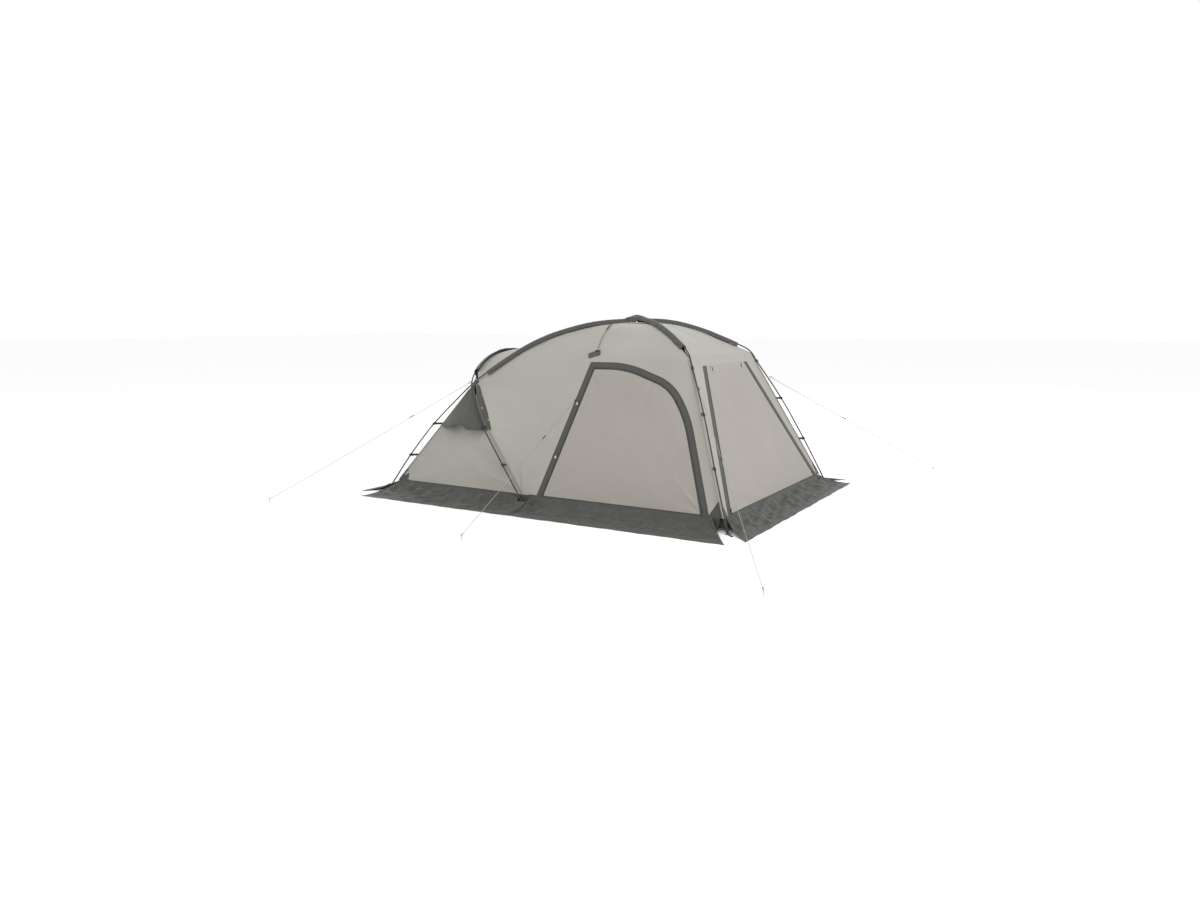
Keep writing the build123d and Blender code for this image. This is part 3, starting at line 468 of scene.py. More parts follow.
def one(name, points, faces, finish, slot, body, stands_for, uv, seam, thickness, weld, crisp, held,
        rests_on):
    """One mesh with its finish and body; its slot is not used."""
    mesh = bpy.data.meshes.new(name)
    mesh.from_pydata((points * MM).tolist(), [], faces)
    corner = np.empty(len(mesh.loops), int)
    mesh.loops.foreach_get("vertex_index", corner)
    for layer, values in (("UVMap", uv), ("seam", seam)):
        if values is not None:
            spread = (np.asarray(values).reshape(-1, 2) * MM)[corner]
            mesh.uv_layers.new(name=layer).data.foreach_set("uv", spread.ravel().astype(np.float32))
    mesh.materials.append(finish)
    if weld:
        work = bmesh.new()
        work.from_mesh(mesh)
        bmesh.ops.remove_doubles(work, verts=work.verts, dist=WELD_REACH)
        work.to_mesh(mesh)
        work.free()
    piece = bpy.data.objects.new(name, mesh)
    scene.collection.objects.link(piece)
    if thickness:
        solid = piece.modifiers.new("thickness", "SOLIDIFY")
        solid.thickness, solid.offset = thickness * MM, 0.0
        bpy.context.view_layer.update()
        thick = piece.evaluated_get(bpy.context.evaluated_depsgraph_get())
        piece.data = bpy.data.meshes.new_from_object(thick)
        piece.modifiers.clear()
    piece.data.name = name
    piece.data.shade_smooth()
    piece.data.set_sharp_from_angle(angle=radians(crisp))
    if body:
        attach(piece, body)
    if stands_for:
        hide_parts(*stands_for)
    if held:
        width, length = (float(np.ptp(np.asarray(uv).reshape(-1, 2)[:, k])) * MM for k in (0, 1))
        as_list(rests_on)
    return piece


def make(name, points, faces, finish, slot, body="tent", stands_for=(), uv=None, seam=None, thickness=0.0,
         weld=False, crisp=50, held=None, rests_on=()):
    """One piece, or a near and a far one; body None leaves it unattached."""
    points = np.asarray(points, float).reshape(-1, 3)
    rest = (uv, seam, thickness, weld, crisp, held)
    if "{side}" not in name:
        return [one(name, points, faces, finish, slot, body, stands_for, *rest, rests_on)]
    made = []
    for side, sign in SIDES.items():
        turned = faces if sign > 0 else [face[::-1] for face in faces]
        made.append(one(name.format(side=side), points * V(1, sign, 1), turned, finish, slot,
                        body and body.format(side=side), [n.format(side=side) for n in stands_for], *rest,
                        [n.format(side=side) for n in rests_on]))
    return made


def normals(grid, out):
    across, up = np.gradient(grid, axis=1), np.gradient(grid, axis=0)
    normal = unit(np.cross(across, up))
    return normal if np.sum(normal @ out) > 0 else -normal


def lengths(grid):
    """Distances along the rows and up the columns of a grid, as flat coordinates."""
    rows, columns = grid.shape[:2]
    u = np.cumsum(np.r_[0, np.mean(size(np.diff(grid, axis=1))[..., 0], axis=0)])
    v = np.cumsum(np.r_[0, np.mean(size(np.diff(grid, axis=0))[..., 0], axis=1)])
    return np.stack([np.broadcast_to(u, (rows, columns)), np.broadcast_to(v[:, None], (rows, columns))], -1)


def panel(name, grid, out, finish, slot, lift=1.25, relief=0.0, keep=None, uv=None, thickness=0.9, **more):
    """A thin surface over a grid of points, lifted along its normal by lift and relief."""
    raised = grid + normals(grid, out) * (lift + np.broadcast_to(relief, grid.shape[:2]))[..., None]
    rows, columns = grid.shape[:2]
    uv = lengths(grid) if uv is None else uv
    faces = grid_faces(rows, columns, keep=keep)
    return make(name, raised, faces, finish, slot, uv=uv, thickness=thickness, **more)


def ribbon(name, centre, across, out, width, finish, slot, crown=0.6, thickness=1.0, lift=0.0, columns=7,
           **more):
    """A flat tape along points; across and out are directions at each point, or the same for all."""
    centre = np.asarray(centre, float)
    share = np.linspace(-1, 1, columns)
    across, out = np.broadcast_to(across, centre.shape), np.broadcast_to(out, centre.shape)
    height = lift + crown * (1 - share ** 4)
    grid = (centre[:, None] + across[:, None] * (share * width / 2)[None, :, None]
            + out[:, None] * height[None, :, None])
    run = run_length(centre)
    flat = np.stack(np.broadcast_arrays(run[:, None], (share * width / 2)[None, :]), -1)
    seam = np.stack(np.broadcast_arrays(run[:, None], (width / 2 * (1 - np.abs(share)))[None, :]), -1)
    return make(name, grid, grid_faces(len(centre), columns), finish, slot, uv=flat, seam=seam,
                thickness=thickness, **more)


def tube(name, points, radius, finish, slot, sides=10, closed=False, **more):
    """A round bar along points, with rounded ends; radius is one number or one per point."""
    points = np.asarray(points, float)
    count = len(points)
    ahead = np.roll(points, -1, 0) if closed else np.r_[points[1:], points[-1:] * 2 - points[-2:-1]]
    behind = np.roll(points, 1, 0) if closed else np.r_[points[:1] * 2 - points[1:2], points[:-1]]
    tangents = unit(ahead - behind)
    side = unit(np.cross(tangents[0], V(0.31, 0.2, 0.93)))
    radius = np.broadcast_to(np.asarray(radius, float), (count,)).copy()
    rings, angle = [], np.linspace(0, tau, sides, endpoint=False)
    for k in range(count):
        side = unit(side - tangents[k] * (side @ tangents[k]))
        other = np.cross(tangents[k], side)
        around = np.outer(np.cos(angle), side) + np.outer(np.sin(angle), other)
        rings.append(points[k] + radius[k] * around)
    if not closed:
        for end, way in ((0, -1), (-1, 1)):
            centre, ring = points[end], rings[end]
            for reach, shrink in ((0.6, 0.75), (0.9, 0.3)):
                extra = centre + (ring - centre) * shrink + tangents[end] * way * radius[end] * reach
                rings.insert(0, extra) if end == 0 else rings.append(extra)
    rings = np.array(rings)
    faces = grid_faces(len(rings), sides, wrap=True)
    last = (len(rings) - 1) * sides
    if closed:
        faces += [(last + c, last + (c + 1) % sides, (c + 1) % sides, c) for c in range(sides)]
    else:
        faces += [tuple(range(sides))[::-1], tuple(range(last, last + sides))]
    run = run_length(rings.mean(1))
    around = angle * float(np.mean(radius))
    flat = np.stack(np.broadcast_arrays(run[:, None], around[None, :]), -1)
    return make(name, rings, faces, finish, slot, uv=flat, **more)


def ring_points(centre, a, b, radius, count=24):
    angle = np.linspace(0, tau, count, endpoint=False)[:, None]
    return centre + np.cos(angle) * a * radius + np.sin(angle) * b * radius


def slab(name, centre, x_way, y_way, spans, finish, slot, bevel=1.0, waist=0.0, **more):
    """A moulded bar with rounded edges, narrowed by waist at its middle."""
    x_way, y_way = unit(x_way), unit(y_way)
    z_way = np.cross(x_way, y_way)
    rows = np.linspace(-1, 1, 13)
    section = []
    for corner, (sx, sy) in enumerate(((1, -1), (1, 1), (-1, 1), (-1, -1))):
        for k in range(4):
            turn = corner * pi / 2 + k * pi / 6 - pi / 2
            section.append((sx * (spans[0] / 2 - bevel) + bevel * cos(turn),
                            sy * (spans[1] / 2 - bevel) + bevel * sin(turn)))
    section = np.array(section)
    grid = []
    for share in rows:
        pinch = 1 - waist * (1 - share ** 2) ** 2
        closing = 1 - 0.35 * max(0.0, abs(share) - 0.88) / 0.12
        flat = section * pinch * closing
        grid.append(centre + flat[:, :1] * x_way + flat[:, 1:] * y_way + z_way * share * spans[2] / 2)
    count = len(section)
    faces = grid_faces(len(rows), count, wrap=True)
    last = (len(rows) - 1) * count
    faces += [tuple(range(count))[::-1], tuple(range(last, last + count))]
    return make(name, np.array(grid), faces, finish, slot, **more)


# ------------------------------------------------------------ folds and waves
def waves(a, b, length, seed, count=8):
    """Uneven gentle swelling, about one high, over flat coordinates."""
    random = np.random.default_rng(seed)
    total = 0
    for _ in range(count):
        heading, phase = random.uniform(0, tau, 2)
        pitch = length * random.uniform(0.6, 1.9)
        total = total + np.sin((a * cos(heading) + b * sin(heading)) * tau / pitch + phase)
    return total / count ** 0.5


def swell(flat, length, seed):
    return waves(flat[..., 0], flat[..., 1], length, seed)


def sewn(flat, edge):
    """Coordinates for stitching: along a seam, and away from it."""
    return np.stack([flat[..., 0], edge], -1)


def creases(a, b, at, toward, reach, seed, folds=4, spread=35):
    """Tension folds, about one high, that fan out from a point of pull towards a heading in degrees."""
    away_a, away_b = a - at[0], b - at[1]
    distance = np.hypot(away_a, away_b)
    off = (np.arctan2(away_b, away_a) - radians(toward) + pi) % tau - pi
    random = np.random.default_rng(seed)
    phase, skew = random.uniform(0, tau, 2)
    angle = off / radians(spread)
    wander = 0.35 * np.sin(distance / reach * 3 + skew)
    ridge = 1 - 2 * np.abs(np.sin((angle + wander * 0.3) * folds * 0.8 + phase)) ** 0.7
    return ridge * np.exp(-angle ** 2) * np.exp(-distance / reach) * (1 - np.exp(-distance / 25))


def rise(share, width):
    """0 at both ends of a share from 0 to 1, and 1 beyond a width of them."""
    return np.clip(np.minimum(share, 1 - share) / width, 0, 1) ** 0.8


def pulled(relief, a, b, pulls, seed):
    """Relief with folds added from points of pull, each a (point, heading, reach, height)."""
    for k, (at, toward, reach, height) in enumerate(pulls):
        relief = relief + height * creases(a, b, at, toward, reach, seed + k)
    return relief


def edged(relief, across, up):
    """Relief that ends at the edges of its grid, within shares across and up."""
    rows, columns = relief.shape
    return relief * rise(np.linspace(0, 1, columns), across) * rise(np.linspace(0, 1, rows), up)[:, None]


# ------------------------------------------------------------ doorway outlines
BAND, ZIP_INSET, ZIP_WIDTH, DOOR_GAP = 60, 48, 8, 1.5
LEAST_BEND = 2.0         # radius of a doorway's corner once the inset has used it up
LOW = WALL_BOTTOM - BAND
ARCH = [(179, 1140), (520, 1142), (950, 1004), (1140, 770)]
END_TOPS = {"rear": (454, 0.5453, 1121), "front": (370, 0.35, 1020)}      # half width, lean and height
END_RADII, HINGE_SIDE_RADIUS = [45, 45], 12


def grounded(corner, foot, height):
    share = (corner[1] - height) / (corner[1] - foot[1])
    return (corner[0] + (foot[0] - corner[0]) * share, height)


def tapered(half_top, lean, top):
    half_low = half_top + lean * (top - LOW)
    return [(-half_low, LOW), (-half_top, top), (half_top, top), (half_low, LOW)]


class Doorway:
    """The outline of a door's band, in flat (across, up) coordinates of its wall."""

    def __init__(self, corners, slope, place, out, radii=None, tight=None):
        self.corners = [V(x, height * slope) for x, height in corners]
        self.radii = radii or [
            corner_reach(p, q, r) / tan(turn_between(unit(q - p), unit(r - q)) / 2)
            for p, q, r in zip(self.corners, self.corners[1:], self.corners[2:])]
        if tight:
            self.radii[0] = tight
        self.slope, self.place, self.out = slope, place, out

    def line(self, inset, height=WALL_BOTTOM, step=16):
        """Points from one foot over the top to the other, a distance inside the band's outer edge."""
        bottom, corners = height * self.slope, self.corners
        legs = [unit(b - a) for a, b in zip(corners, corners[1:])]
        bends = []
        for corner, radius, a, b in zip(corners[1:], self.radii, legs, legs[1:]):
            turn = turn_between(a, b)
            square = V(a[1], -a[0])
            inward = unit(square + V(b[1], -b[0]))
            moved = corner + inward * inset / cos(turn / 2)
            inner = max(radius - inset, LEAST_BEND)
            centre = moved - a * inner * tan(turn / 2) + square * inner
            count = max(3, ceil(turn * max(radius, 40) / step))
            bends.append([centre + inner * (a * sin(turn * k / count) - square * cos(turn * k / count))
                          for k in range(count + 1)])
        first, last = bends[0][0], bends[-1][-1]
        points = [first - legs[0] * (first[1] - bottom) / legs[0][1]]
        ends = bends + [[last + legs[-1] * (bottom - last[1]) / legs[-1][1]]]
        for k, bend in enumerate(ends):
            base = size(corners[k + 1] - corners[k])[0]
            count = max(2, ceil(base / step))
            start = points[-1]
            points += [mix(start, bend[0], i / count) for i in range(1, count)]
            points += bend
        return np.array(points)

    def on_wall(self, flat):
        return self.place(flat[..., 0], flat[..., 1])


def beside(outline, a, b):
    """Distance from each flat point to an outline, negative inside it."""
    flat = np.stack([a, b], -1).reshape(-1, 1, 2)
    distance = np.min(np.linalg.norm(flat - outline[None], axis=-1), axis=1)
    inside = np.zeros(len(flat), bool)
    x, y = flat[:, 0, 0], flat[:, 0, 1]
    closed = np.r_[outline, outline[:1]]
    for p, q in zip(closed, closed[1:]):
        crosses = (p[1] > y) != (q[1] > y)
        rise_by = q[1] - p[1] if abs(q[1] - p[1]) > 1e-9 else 1e-9
        inside ^= crosses & (x < (q[0] - p[0]) * (y - p[1]) / rise_by + p[0])
    return np.where(inside, -distance, distance).reshape(a.shape)


def place_side(a, b):
    return np.stack([a, side_plane(b / SIDE_SLOPE), b / SIDE_SLOPE], -1)


def place_rear(a, b):
    return np.stack([rear_plane(b / REAR_SLOPE), a, b / REAR_SLOPE], -1)


knee = next(p for p in hoop_front_edge if p[1] < 0)
hoop_near_front = [p for p in hoop_front_edge if p[1] < 0]
front_foot = front_seam(WALL_BOTTOM)


def front_top(across):
    if across > -knee[1]:
        return front_seam(max((-across - side_plane(0)) / SIDE_LEAN, WALL_BOTTOM + 1))
    inside = [p for p in hoop_near_front if -p[1] <= across]
    if not inside:
        return hoop_near_front[-1]
    a, b = [p for p in hoop_near_front if -p[1] > across][-1], inside[0]
    return mix(a, b, (-a[1] - across) / (b[1] - a[1]))


def front_x(across, height):
    top = front_top(abs(across))
    if top[2] - WALL_BOTTOM < 40:
        return front_seam(height)[0]
    return mix(front_foot[0], top[0], (height - WALL_BOTTOM) / (top[2] - WALL_BOTTOM))


def place_front(a, b):
    x = np.vectorize(front_x)(a, b)
    return np.stack([x, a, b], -1)


SIDE_FEET = (-60, 1425)      # where the side doorway's outer edges meet the wall's foot
side_corners = [grounded(ARCH[0], (SIDE_FEET[0], WALL_BOTTOM), LOW), *ARCH,
                grounded(ARCH[-1], (SIDE_FEET[1], WALL_BOTTOM), LOW)]
DOORWAYS = {
    "side": Doorway(side_corners, SIDE_SLOPE, place_side, NEAR_OUT, tight=HINGE_SIDE_RADIUS),
    "rear": Doorway(tapered(*END_TOPS["rear"]), REAR_SLOPE, place_rear, REAR_OUT, END_RADII),
    "front": Doorway(tapered(*END_TOPS["front"]), 1.0, place_front, FRONT_OUT, END_RADII),
}
BAND_PIECES = {"side": "door_side_{side}_band", "rear": "door_rear_near_band",
               "front": "door_front_near_band"}
DOOR_NAMES = {"side": "door_{side}", "rear": "door_rear", "front": "door_front"}


def cell_middles(values):
    return (values[:-1, :-1] + values[1:, 1:] + values[1:, :-1] + values[:-1, 1:]) / 4


BAND_FADE, UNDER_BAND = 70, 30       # where folds fade out, and how far cloth reaches under a band


def relief_near(doorway, a, b, relief):
    """Relief that fades out beside the band, and which cells are outside the doorway."""
    off = beside(doorway.line(0), a, b)
    inner = beside(doorway.line(UNDER_BAND), a, b)
    return relief * np.clip(off / BAND_FADE, 0, 1), cell_middles(inner) > 0


MAIN_POLES = ["main_pole_a", "main_pole_b"]


def wall(name, key, grid, a, b, swells, pulls, seed, node, poles):
    """One wall's cloth round its doorway; swells are (height, pitch, seed)."""
    relief = sum(height * waves(a, b, pitch, own_seed) for height, pitch, own_seed in swells)
    relief = edged(pulled(relief, a, b, pulls, seed), 0.02, 0.03)
    relief, keep = relief_near(DOORWAYS[key], a, b, relief)
    panel(name, grid, DOORWAYS[key].out, *SHELL, relief=relief, keep=keep, uv=np.stack([a, b], -1),
          stands_for=[node], held="stretched", rests_on=poles)


# ------------------------------------------------------------------- side walls
FLAT_FOOT, FLAT_LEAN = -60, 0.2285       # up to the doorway's front leg the wall leaves its plane
LOOSE_FROM, LOOSE_OVER = 1150, 180       # heights where the flat part gives way to the crown
CROWN_EDGE = 1451                        # the side wall's highest row, where the sewn lines meet


def fade(share, reach):
    return np.clip(1 - share / reach, 0, None) ** 2


def side_row(height, s):
    left = at_height(side_left, height) + V(SEAM_GAP, 0, 0)
    right = at_height(side_right, height) - V(SEAM_GAP, 0, 0)
    leg = FLAT_FOOT + FLAT_LEAN * height
    flat_reach = (leg - 10 - left[0]) / (right[0] - left[0])
    loosen = min(1.0, max(0.0, (height - LOOSE_FROM) / LOOSE_OVER))
    reach = flat_reach + (1 - flat_reach) * loosen
    base = side_plane(height)
    bend_left = mix(fade(s, reach), 1 - s, loosen)
    bend_right = mix(fade(1 - s, 0.06 + 0.94 * loosen), s, loosen)
    y = base + (left[1] - base) * bend_left + (right[1] - base) * bend_right
    return np.stack([left[0] + (right[0] - left[0]) * s, y, np.full_like(s, height)], -1)


shares = np.linspace(0, 1, 220 // COARSE)
side_grid = np.array([side_row(z, shares) for z in np.linspace(WALL_BOTTOM, CROWN_EDGE, 112 // COARSE)])
wall("wall_cloth_side_{side}", "side", side_grid, side_grid[..., 0], side_grid[..., 2] * SIDE_SLOPE,
     ((2.3, 420, 3), (0.9, 130, 4)),
     [((-1500, 110), 30, 420, 6.0), ((-190, 110), 118, 380, 6.5), ((1520, 110), 140, 260, 4.0),
      ((1060, 1290), 200, 330, 5.5), ((-880, 980), -30, 420, 6.0), ((205, 1318), -60, 160, 5.0),
      ((205, 1318), 130, 260, 3.5), ((-640, 640), -20, 260, 3.5), ((246, 1560), -110, 300, 4.0)],
     20, "side_wall_{side}", MAIN_POLES)

# -------------------------------------------------------------------- rear wall
rear_shares = np.linspace(0, 1, 150 // COARSE)
rear_grid = []
for z in np.linspace(WALL_BOTTOM, CROWN_EDGE - 1, 100 // COARSE):
    edge = (rear_seam(z) if z < SHOULDER - 2 else at_height(rear_near, z)) + V(0, SEAM_GAP, 0)
    rear_grid.append(mix(edge, flip(edge), rear_shares[:, None]))
rear_grid = np.array(rear_grid)
wall("wall_cloth_rear", "rear", rear_grid, rear_grid[..., 1], rear_grid[..., 2] * REAR_SLOPE,
     ((2.3, 380, 8), (0.9, 120, 9)),
     [((-1070, 110), 50, 300, 5.0), ((1070, 110), 130, 300, 5.0), ((-560, 1340), -50, 320, 5.5),
      ((560, 1340), -130, 320, 5.5), ((0, 1580), -90, 300, 3.0)], 40, "rear_wall", MAIN_POLES)

# ------------------------------------------------------------------- front wall
FRONT_EDGE = 1135        # the front wall's highest row, under the middle of the hoop
front_shares = np.linspace(0, 1, 130 // COARSE)


def front_half_width(height):
    if height < knee[2] - 60:
        return -front_seam(height)[1]
    return -at_height([front_seam(knee[2] - 60)] + hoop_near_front, height)[1]


front_grid = []
for z in np.linspace(WALL_BOTTOM, FRONT_EDGE, 80 // COARSE):
    half = front_half_width(z) - SEAM_GAP
    across = -half + 2 * half * front_shares
    front_grid.append(place_front(across, np.full_like(across, z)))
front_grid = np.array(front_grid)
wall("wall_cloth_front", "front", front_grid, front_grid[..., 1], front_grid[..., 2],
     ((2.0, 360, 12), (0.8, 120, 13)),
     [((-1070, 100), 50, 300, 5.0), ((1070, 100), 130, 300, 5.0), ((-640, 1010), -60, 320, 5.0),
      ((640, 1010), -120, 320, 5.0)], 60, "front_wall", ["hoop_pole"])

# ------------------------------------------------------------------- front roof
hoop_line = [left_roof_edge[0]] + hoop_roof_edge + [flip(left_roof_edge[0])]
roof_left = left_roof_edge[::-1]


def along(points, share):
    return walk(points, share * run_length(points)[-1])


roof_corner, roof_brow = roof_left[-1], along(hoop_line, 0.5)
HOOP_UP = unit(roof_brow - V(roof_corner[0], 0, roof_corner[2]))
ROOF_ARCH = 2.0        # how late the roof rises from its sleeves
ROOF_RIM = 12          # how close to the hoop it takes the hoop's own curve


def roof_row(t, count):
    near = along(roof_left, t)
    crown = V(roof_left[0][0], 0, roof_left[0][2])
    up = unit(mix(UP, HOOP_UP, t))
    ridge = roof_brow - crown
    square = V(-ridge[2], 0, ridge[0])
    middle = V(near[0], 0, near[2])
    climb = (square @ (crown - middle)) / (square @ up)
    hoop_rise = (roof_brow - roof_corner) @ HOOP_UP
    row = []
    for s in np.linspace(0, 1, count):
        rim = along(hoop_line, s)
        across = near[1] * (1 - 2 * s) * (1 - t ** 3) + rim[1] * near[1] / roof_corner[1] * t ** 3
        hoop_share = ((rim - roof_corner) @ HOOP_UP) / hoop_rise
        lift = mix((4 * s * (1 - s)) ** ROOF_ARCH, hoop_share, t ** ROOF_RIM)
        row.append(V(near[0], across, near[2]) + up * lift * climb)
    return row


roof_grid = np.array([roof_row(t, 70 // COARSE) for t in np.linspace(0.004, 1, 70 // COARSE)])
flat = lengths(roof_grid)
a, b = flat[..., 0], flat[..., 1]
roof_pulls = [((a[-1, -1] * end, b[-1, 0]), -50 - 80 * end, 330, 5.0) for end in (0.0, 1.0)]
roof_relief = edged(pulled(2.2 * waves(a, b, 380, 16), a, b, roof_pulls, 70), 0.05, 0.06)
panel("roof_cloth_front", roof_grid, V(-0.4, 0, 1), *SHELL, relief=roof_relief, stands_for=["roof_front"],
      held="stretched", rests_on=[*MAIN_POLES, "hoop_pole"])


# -------------------------------------------------------- vent gusset and mesh
def gusset_row(height, s):
    return mix(front_seam(height) + V(SEAM_GAP, 0, 0), at_height(hood_crease, height) - V(SEAM_GAP, 0, 0),
               np.asarray(s)[:, None])


gusset_levels = np.linspace(WALL_BOTTOM, 845, 70 // COARSE)
gusset_shares = np.linspace(0, 1, 90 // COARSE)
gusset_grid = np.array([gusset_row(z, gusset_shares) for z in gusset_levels])
flat_a, flat_b = gusset_grid[..., 0], gusset_grid[..., 2] * SIDE_SLOPE
gusset_relief = pulled(
    1.8 * waves(flat_a, flat_b, 300, 21) + 0.8 * waves(flat_a, flat_b, 110, 22), flat_a, flat_b,
    [((-1500, 110), 28, 380, 6.0), ((-215, 110), 152, 380, 6.0), ((-1150, 660), -30, 230, 4.0),
     ((-650, 640), -120, 230, 4.0)], 80)
VENT_LOW, VENT_HIGH = 640, 820
INSET_LOW, INSET_HIGH = 70, 34       # from the gusset's sides to the netting
UNDER_NET = 8                        # how far the cloth reaches under it
vent_edges = [(gusset_row(z, [0, 1])[0][0] + inset, gusset_row(z, [0, 1])[1][0] - inset)
              for z, inset in ((VENT_LOW, INSET_LOW), (VENT_HIGH, INSET_HIGH))]
vent_outline = np.array([(vent_edges[0][0], VENT_LOW), (vent_edges[1][0], VENT_HIGH),
                         (vent_edges[1][1], VENT_HIGH), (vent_edges[0][1], VENT_LOW)], float)
vent_dense = np.concatenate([mix(p, q, np.linspace(0, 1, 30)[:, None])
                             for p, q in zip(vent_outline, np.roll(vent_outline, -1, 0))])
vent_off = beside(vent_dense, flat_a, gusset_grid[..., 2])
gusset_relief = edged(gusset_relief, 0.04, 0.04) * np.clip(vent_off / 60, 0, 1)
panel("gusset_cloth_{side}", gusset_grid, NEAR_OUT, *SHELL, relief=gusset_relief,
      keep=cell_middles(vent_off) > -UNDER_NET, uv=np.stack([flat_a, flat_b], -1),
      stands_for=["vent_gusset_{side}"], held="stretched", rests_on=["hoop_pole"])


NET_GROWTH = 4                       # netting past its opening, under the binding


def net_row(t):
    z = mix(VENT_LOW - NET_GROWTH, VENT_HIGH + NET_GROWTH, t)
    inset = mix(INSET_LOW, INSET_HIGH, t) - NET_GROWTH
    left, right = gusset_row(z, [0, 1])
    x = np.linspace(left[0] + inset, right[0] - inset, 30)
    return mix(left, right, ((x - left[0]) / (right[0] - left[0]))[:, None])


net_grid = np.array([net_row(t) for t in np.linspace(0, 1, 16)])
flat = lengths(net_grid)
panel("vent_netting_{side}", net_grid, NEAR_OUT, netting, "mesh_fabric", lift=0.7, thickness=0.5,
      relief=0.5 * swell(flat, 90, 25), stands_for=["vent_mesh_{side}"], held="stretched",
      rests_on=["gusset_cloth_{side}"])
rim = np.concatenate([net_grid[0], net_grid[:, -1], net_grid[-1][::-1], net_grid[::-1, 0]])
rim = np.concatenate([mix(p, q, np.linspace(0, 1, 4, endpoint=False)[:, None]) for p, q in zip(rim, rim[1:])])
rim_way = unit(np.gradient(rim, axis=0) + 1e-9)
ribbon("vent_binding_{side}", rim, np.cross(rim_way, NEAR_OUT), NEAR_OUT, 16, *TRIM, lift=1.6, crown=0.7)

# -------------------------------------------------------------------- vent hoods
HOOD_TOP, HOOD_BELLY_TOP, HOOD_LOW, HOOD_STAND = 915, 835, 575, 100
BRIM_RX, BRIM_RZ, BRIM_CENTRE = 240, 335, 275      # the ellipse its lower edge follows


def hood_point(height, s):
    drop = np.clip((HOOD_BELLY_TOP - height) / (HOOD_BELLY_TOP - HOOD_LOW), 0, None)
    left = front_seam(height) + V(SEAM_GAP + 6, 0, 0)
    right = at_height(hood_crease, height) - V(SEAM_GAP + 10, 0, 0)
    return mix(left, right, s) - V(0, 8 + HOOD_STAND * 4 * s * (1 - s) * drop ** 1.3, 0)


brim_middle = (hood_point(HOOD_LOW, 0)[0] + hood_point(HOOD_LOW, 1)[0]) / 2
hood_shares = np.linspace(0, 1, 72 // COARSE)
hood_rows = 60 // COARSE
hood_grid = np.zeros((hood_rows, len(hood_shares), 3))
for c, s in enumerate(hood_shares):
    brim = HOOD_LOW
    for _ in range(4):
        off = abs(hood_point(brim, s)[0] - brim_middle) / BRIM_RX
        brim = max(HOOD_LOW, BRIM_CENTRE + BRIM_RZ * max(0.0, 1 - off ** 2) ** 0.5)
    for r, t in enumerate(np.linspace(0, 1, hood_rows)):
        hood_grid[r, c] = hood_point(mix(HOOD_TOP, brim, t), s)
flat = lengths(hood_grid)
a, b = flat[..., 0], flat[..., 1]
hood_relief = pulled(2.2 * swell(flat, 170, 31) + 1.1 * swell(flat, 60, 32), a, b,
                     [((10, 330), -40, 160, 4.0), ((a[-1, -1] - 10, 330), -140, 160, 4.0)], 90)
hood_relief = hood_relief * rise(hood_shares, 0.08)[None, :] * np.linspace(1, 0.12, hood_rows)[:, None]
brim_off = np.broadcast_to((1 - np.linspace(0, 1, hood_rows))[:, None] * 300, hood_grid.shape[:2])
panel("hood_cloth_{side}", hood_grid, NEAR_OUT, hood_cloth, "trim_fabric", lift=1.2, relief=hood_relief,
      thickness=1.2, seam=sewn(flat, brim_off), stands_for=["vent_hood_{side}"], held="stretched",
      rests_on=["gusset_cloth_{side}"])
tube("hood_brim_{side}", hood_grid[-1] + V(0, -1.4, 0), 3.0, *TRIM, sides=8)

# the hood's cloth is sewn past the hoop pole, on the side wall
MARGIN_HEIGHTS = (HOOD_LOW, 600, 650, 700, 760, 820, 880, 905, 925)
MARGIN_WIDTHS = (22, 30, 44, 54, 60, 58, 44, 34, 14)
rows = []
for height in np.linspace(HOOD_LOW, MARGIN_HEIGHTS[-1], 44 // COARSE):
    width = np.interp(height, MARGIN_HEIGHTS, MARGIN_WIDTHS)
    edge_x = at_height(hood_crease, height)[0]
    row = side_row(height, np.linspace(0, 1, 200))
    x = np.linspace(edge_x - 4, edge_x + width, 9)
    rows.append(np.stack([x] + [np.interp(x, row[:, 0], row[:, k]) for k in (1, 2)], -1))
rows = np.array(rows)
flat = lengths(rows)
panel("hood_margin_{side}", rows, unit(V(-0.2, -1, 0.35)), hood_cloth, "trim_fabric", lift=3.2, thickness=1.0,
      relief=0.7 * swell(flat, 55, 37), uv=flat,
      seam=np.stack([flat[..., 1], flat[..., 0].max() - flat[..., 0]], -1), held="stretched",
      rests_on=["wall_cloth_side_{side}"])

# ------------------------------------------------------ doors, bands and zips
INSETS = np.array([0, 1.5, 4, 9, 18, 30, 42, 51, 56, 58.5, 60])
TAPE_INSETS = np.array([44.5, 46, 52, 58, 59.5])
COIL_INSETS = ZIP_INSET + ZIP_WIDTH * np.array([0.12, 0.2, 0.38, 0.62, 0.8, 0.88])


def leg_line(key, inset, step):
    """Points up one straight side of an end doorway, a distance inside its outer edge."""
    half, lean, top = END_TOPS[key]
    slope = DOORWAYS[key].slope
    height = np.linspace(WALL_BOTTOM, top, ceil((top - WALL_BOTTOM) / step))
    shift = inset * (1 + (lean / slope) ** 2) ** 0.5
    return np.stack([-(half + lean * (top - height)) + shift, height * slope], -1)


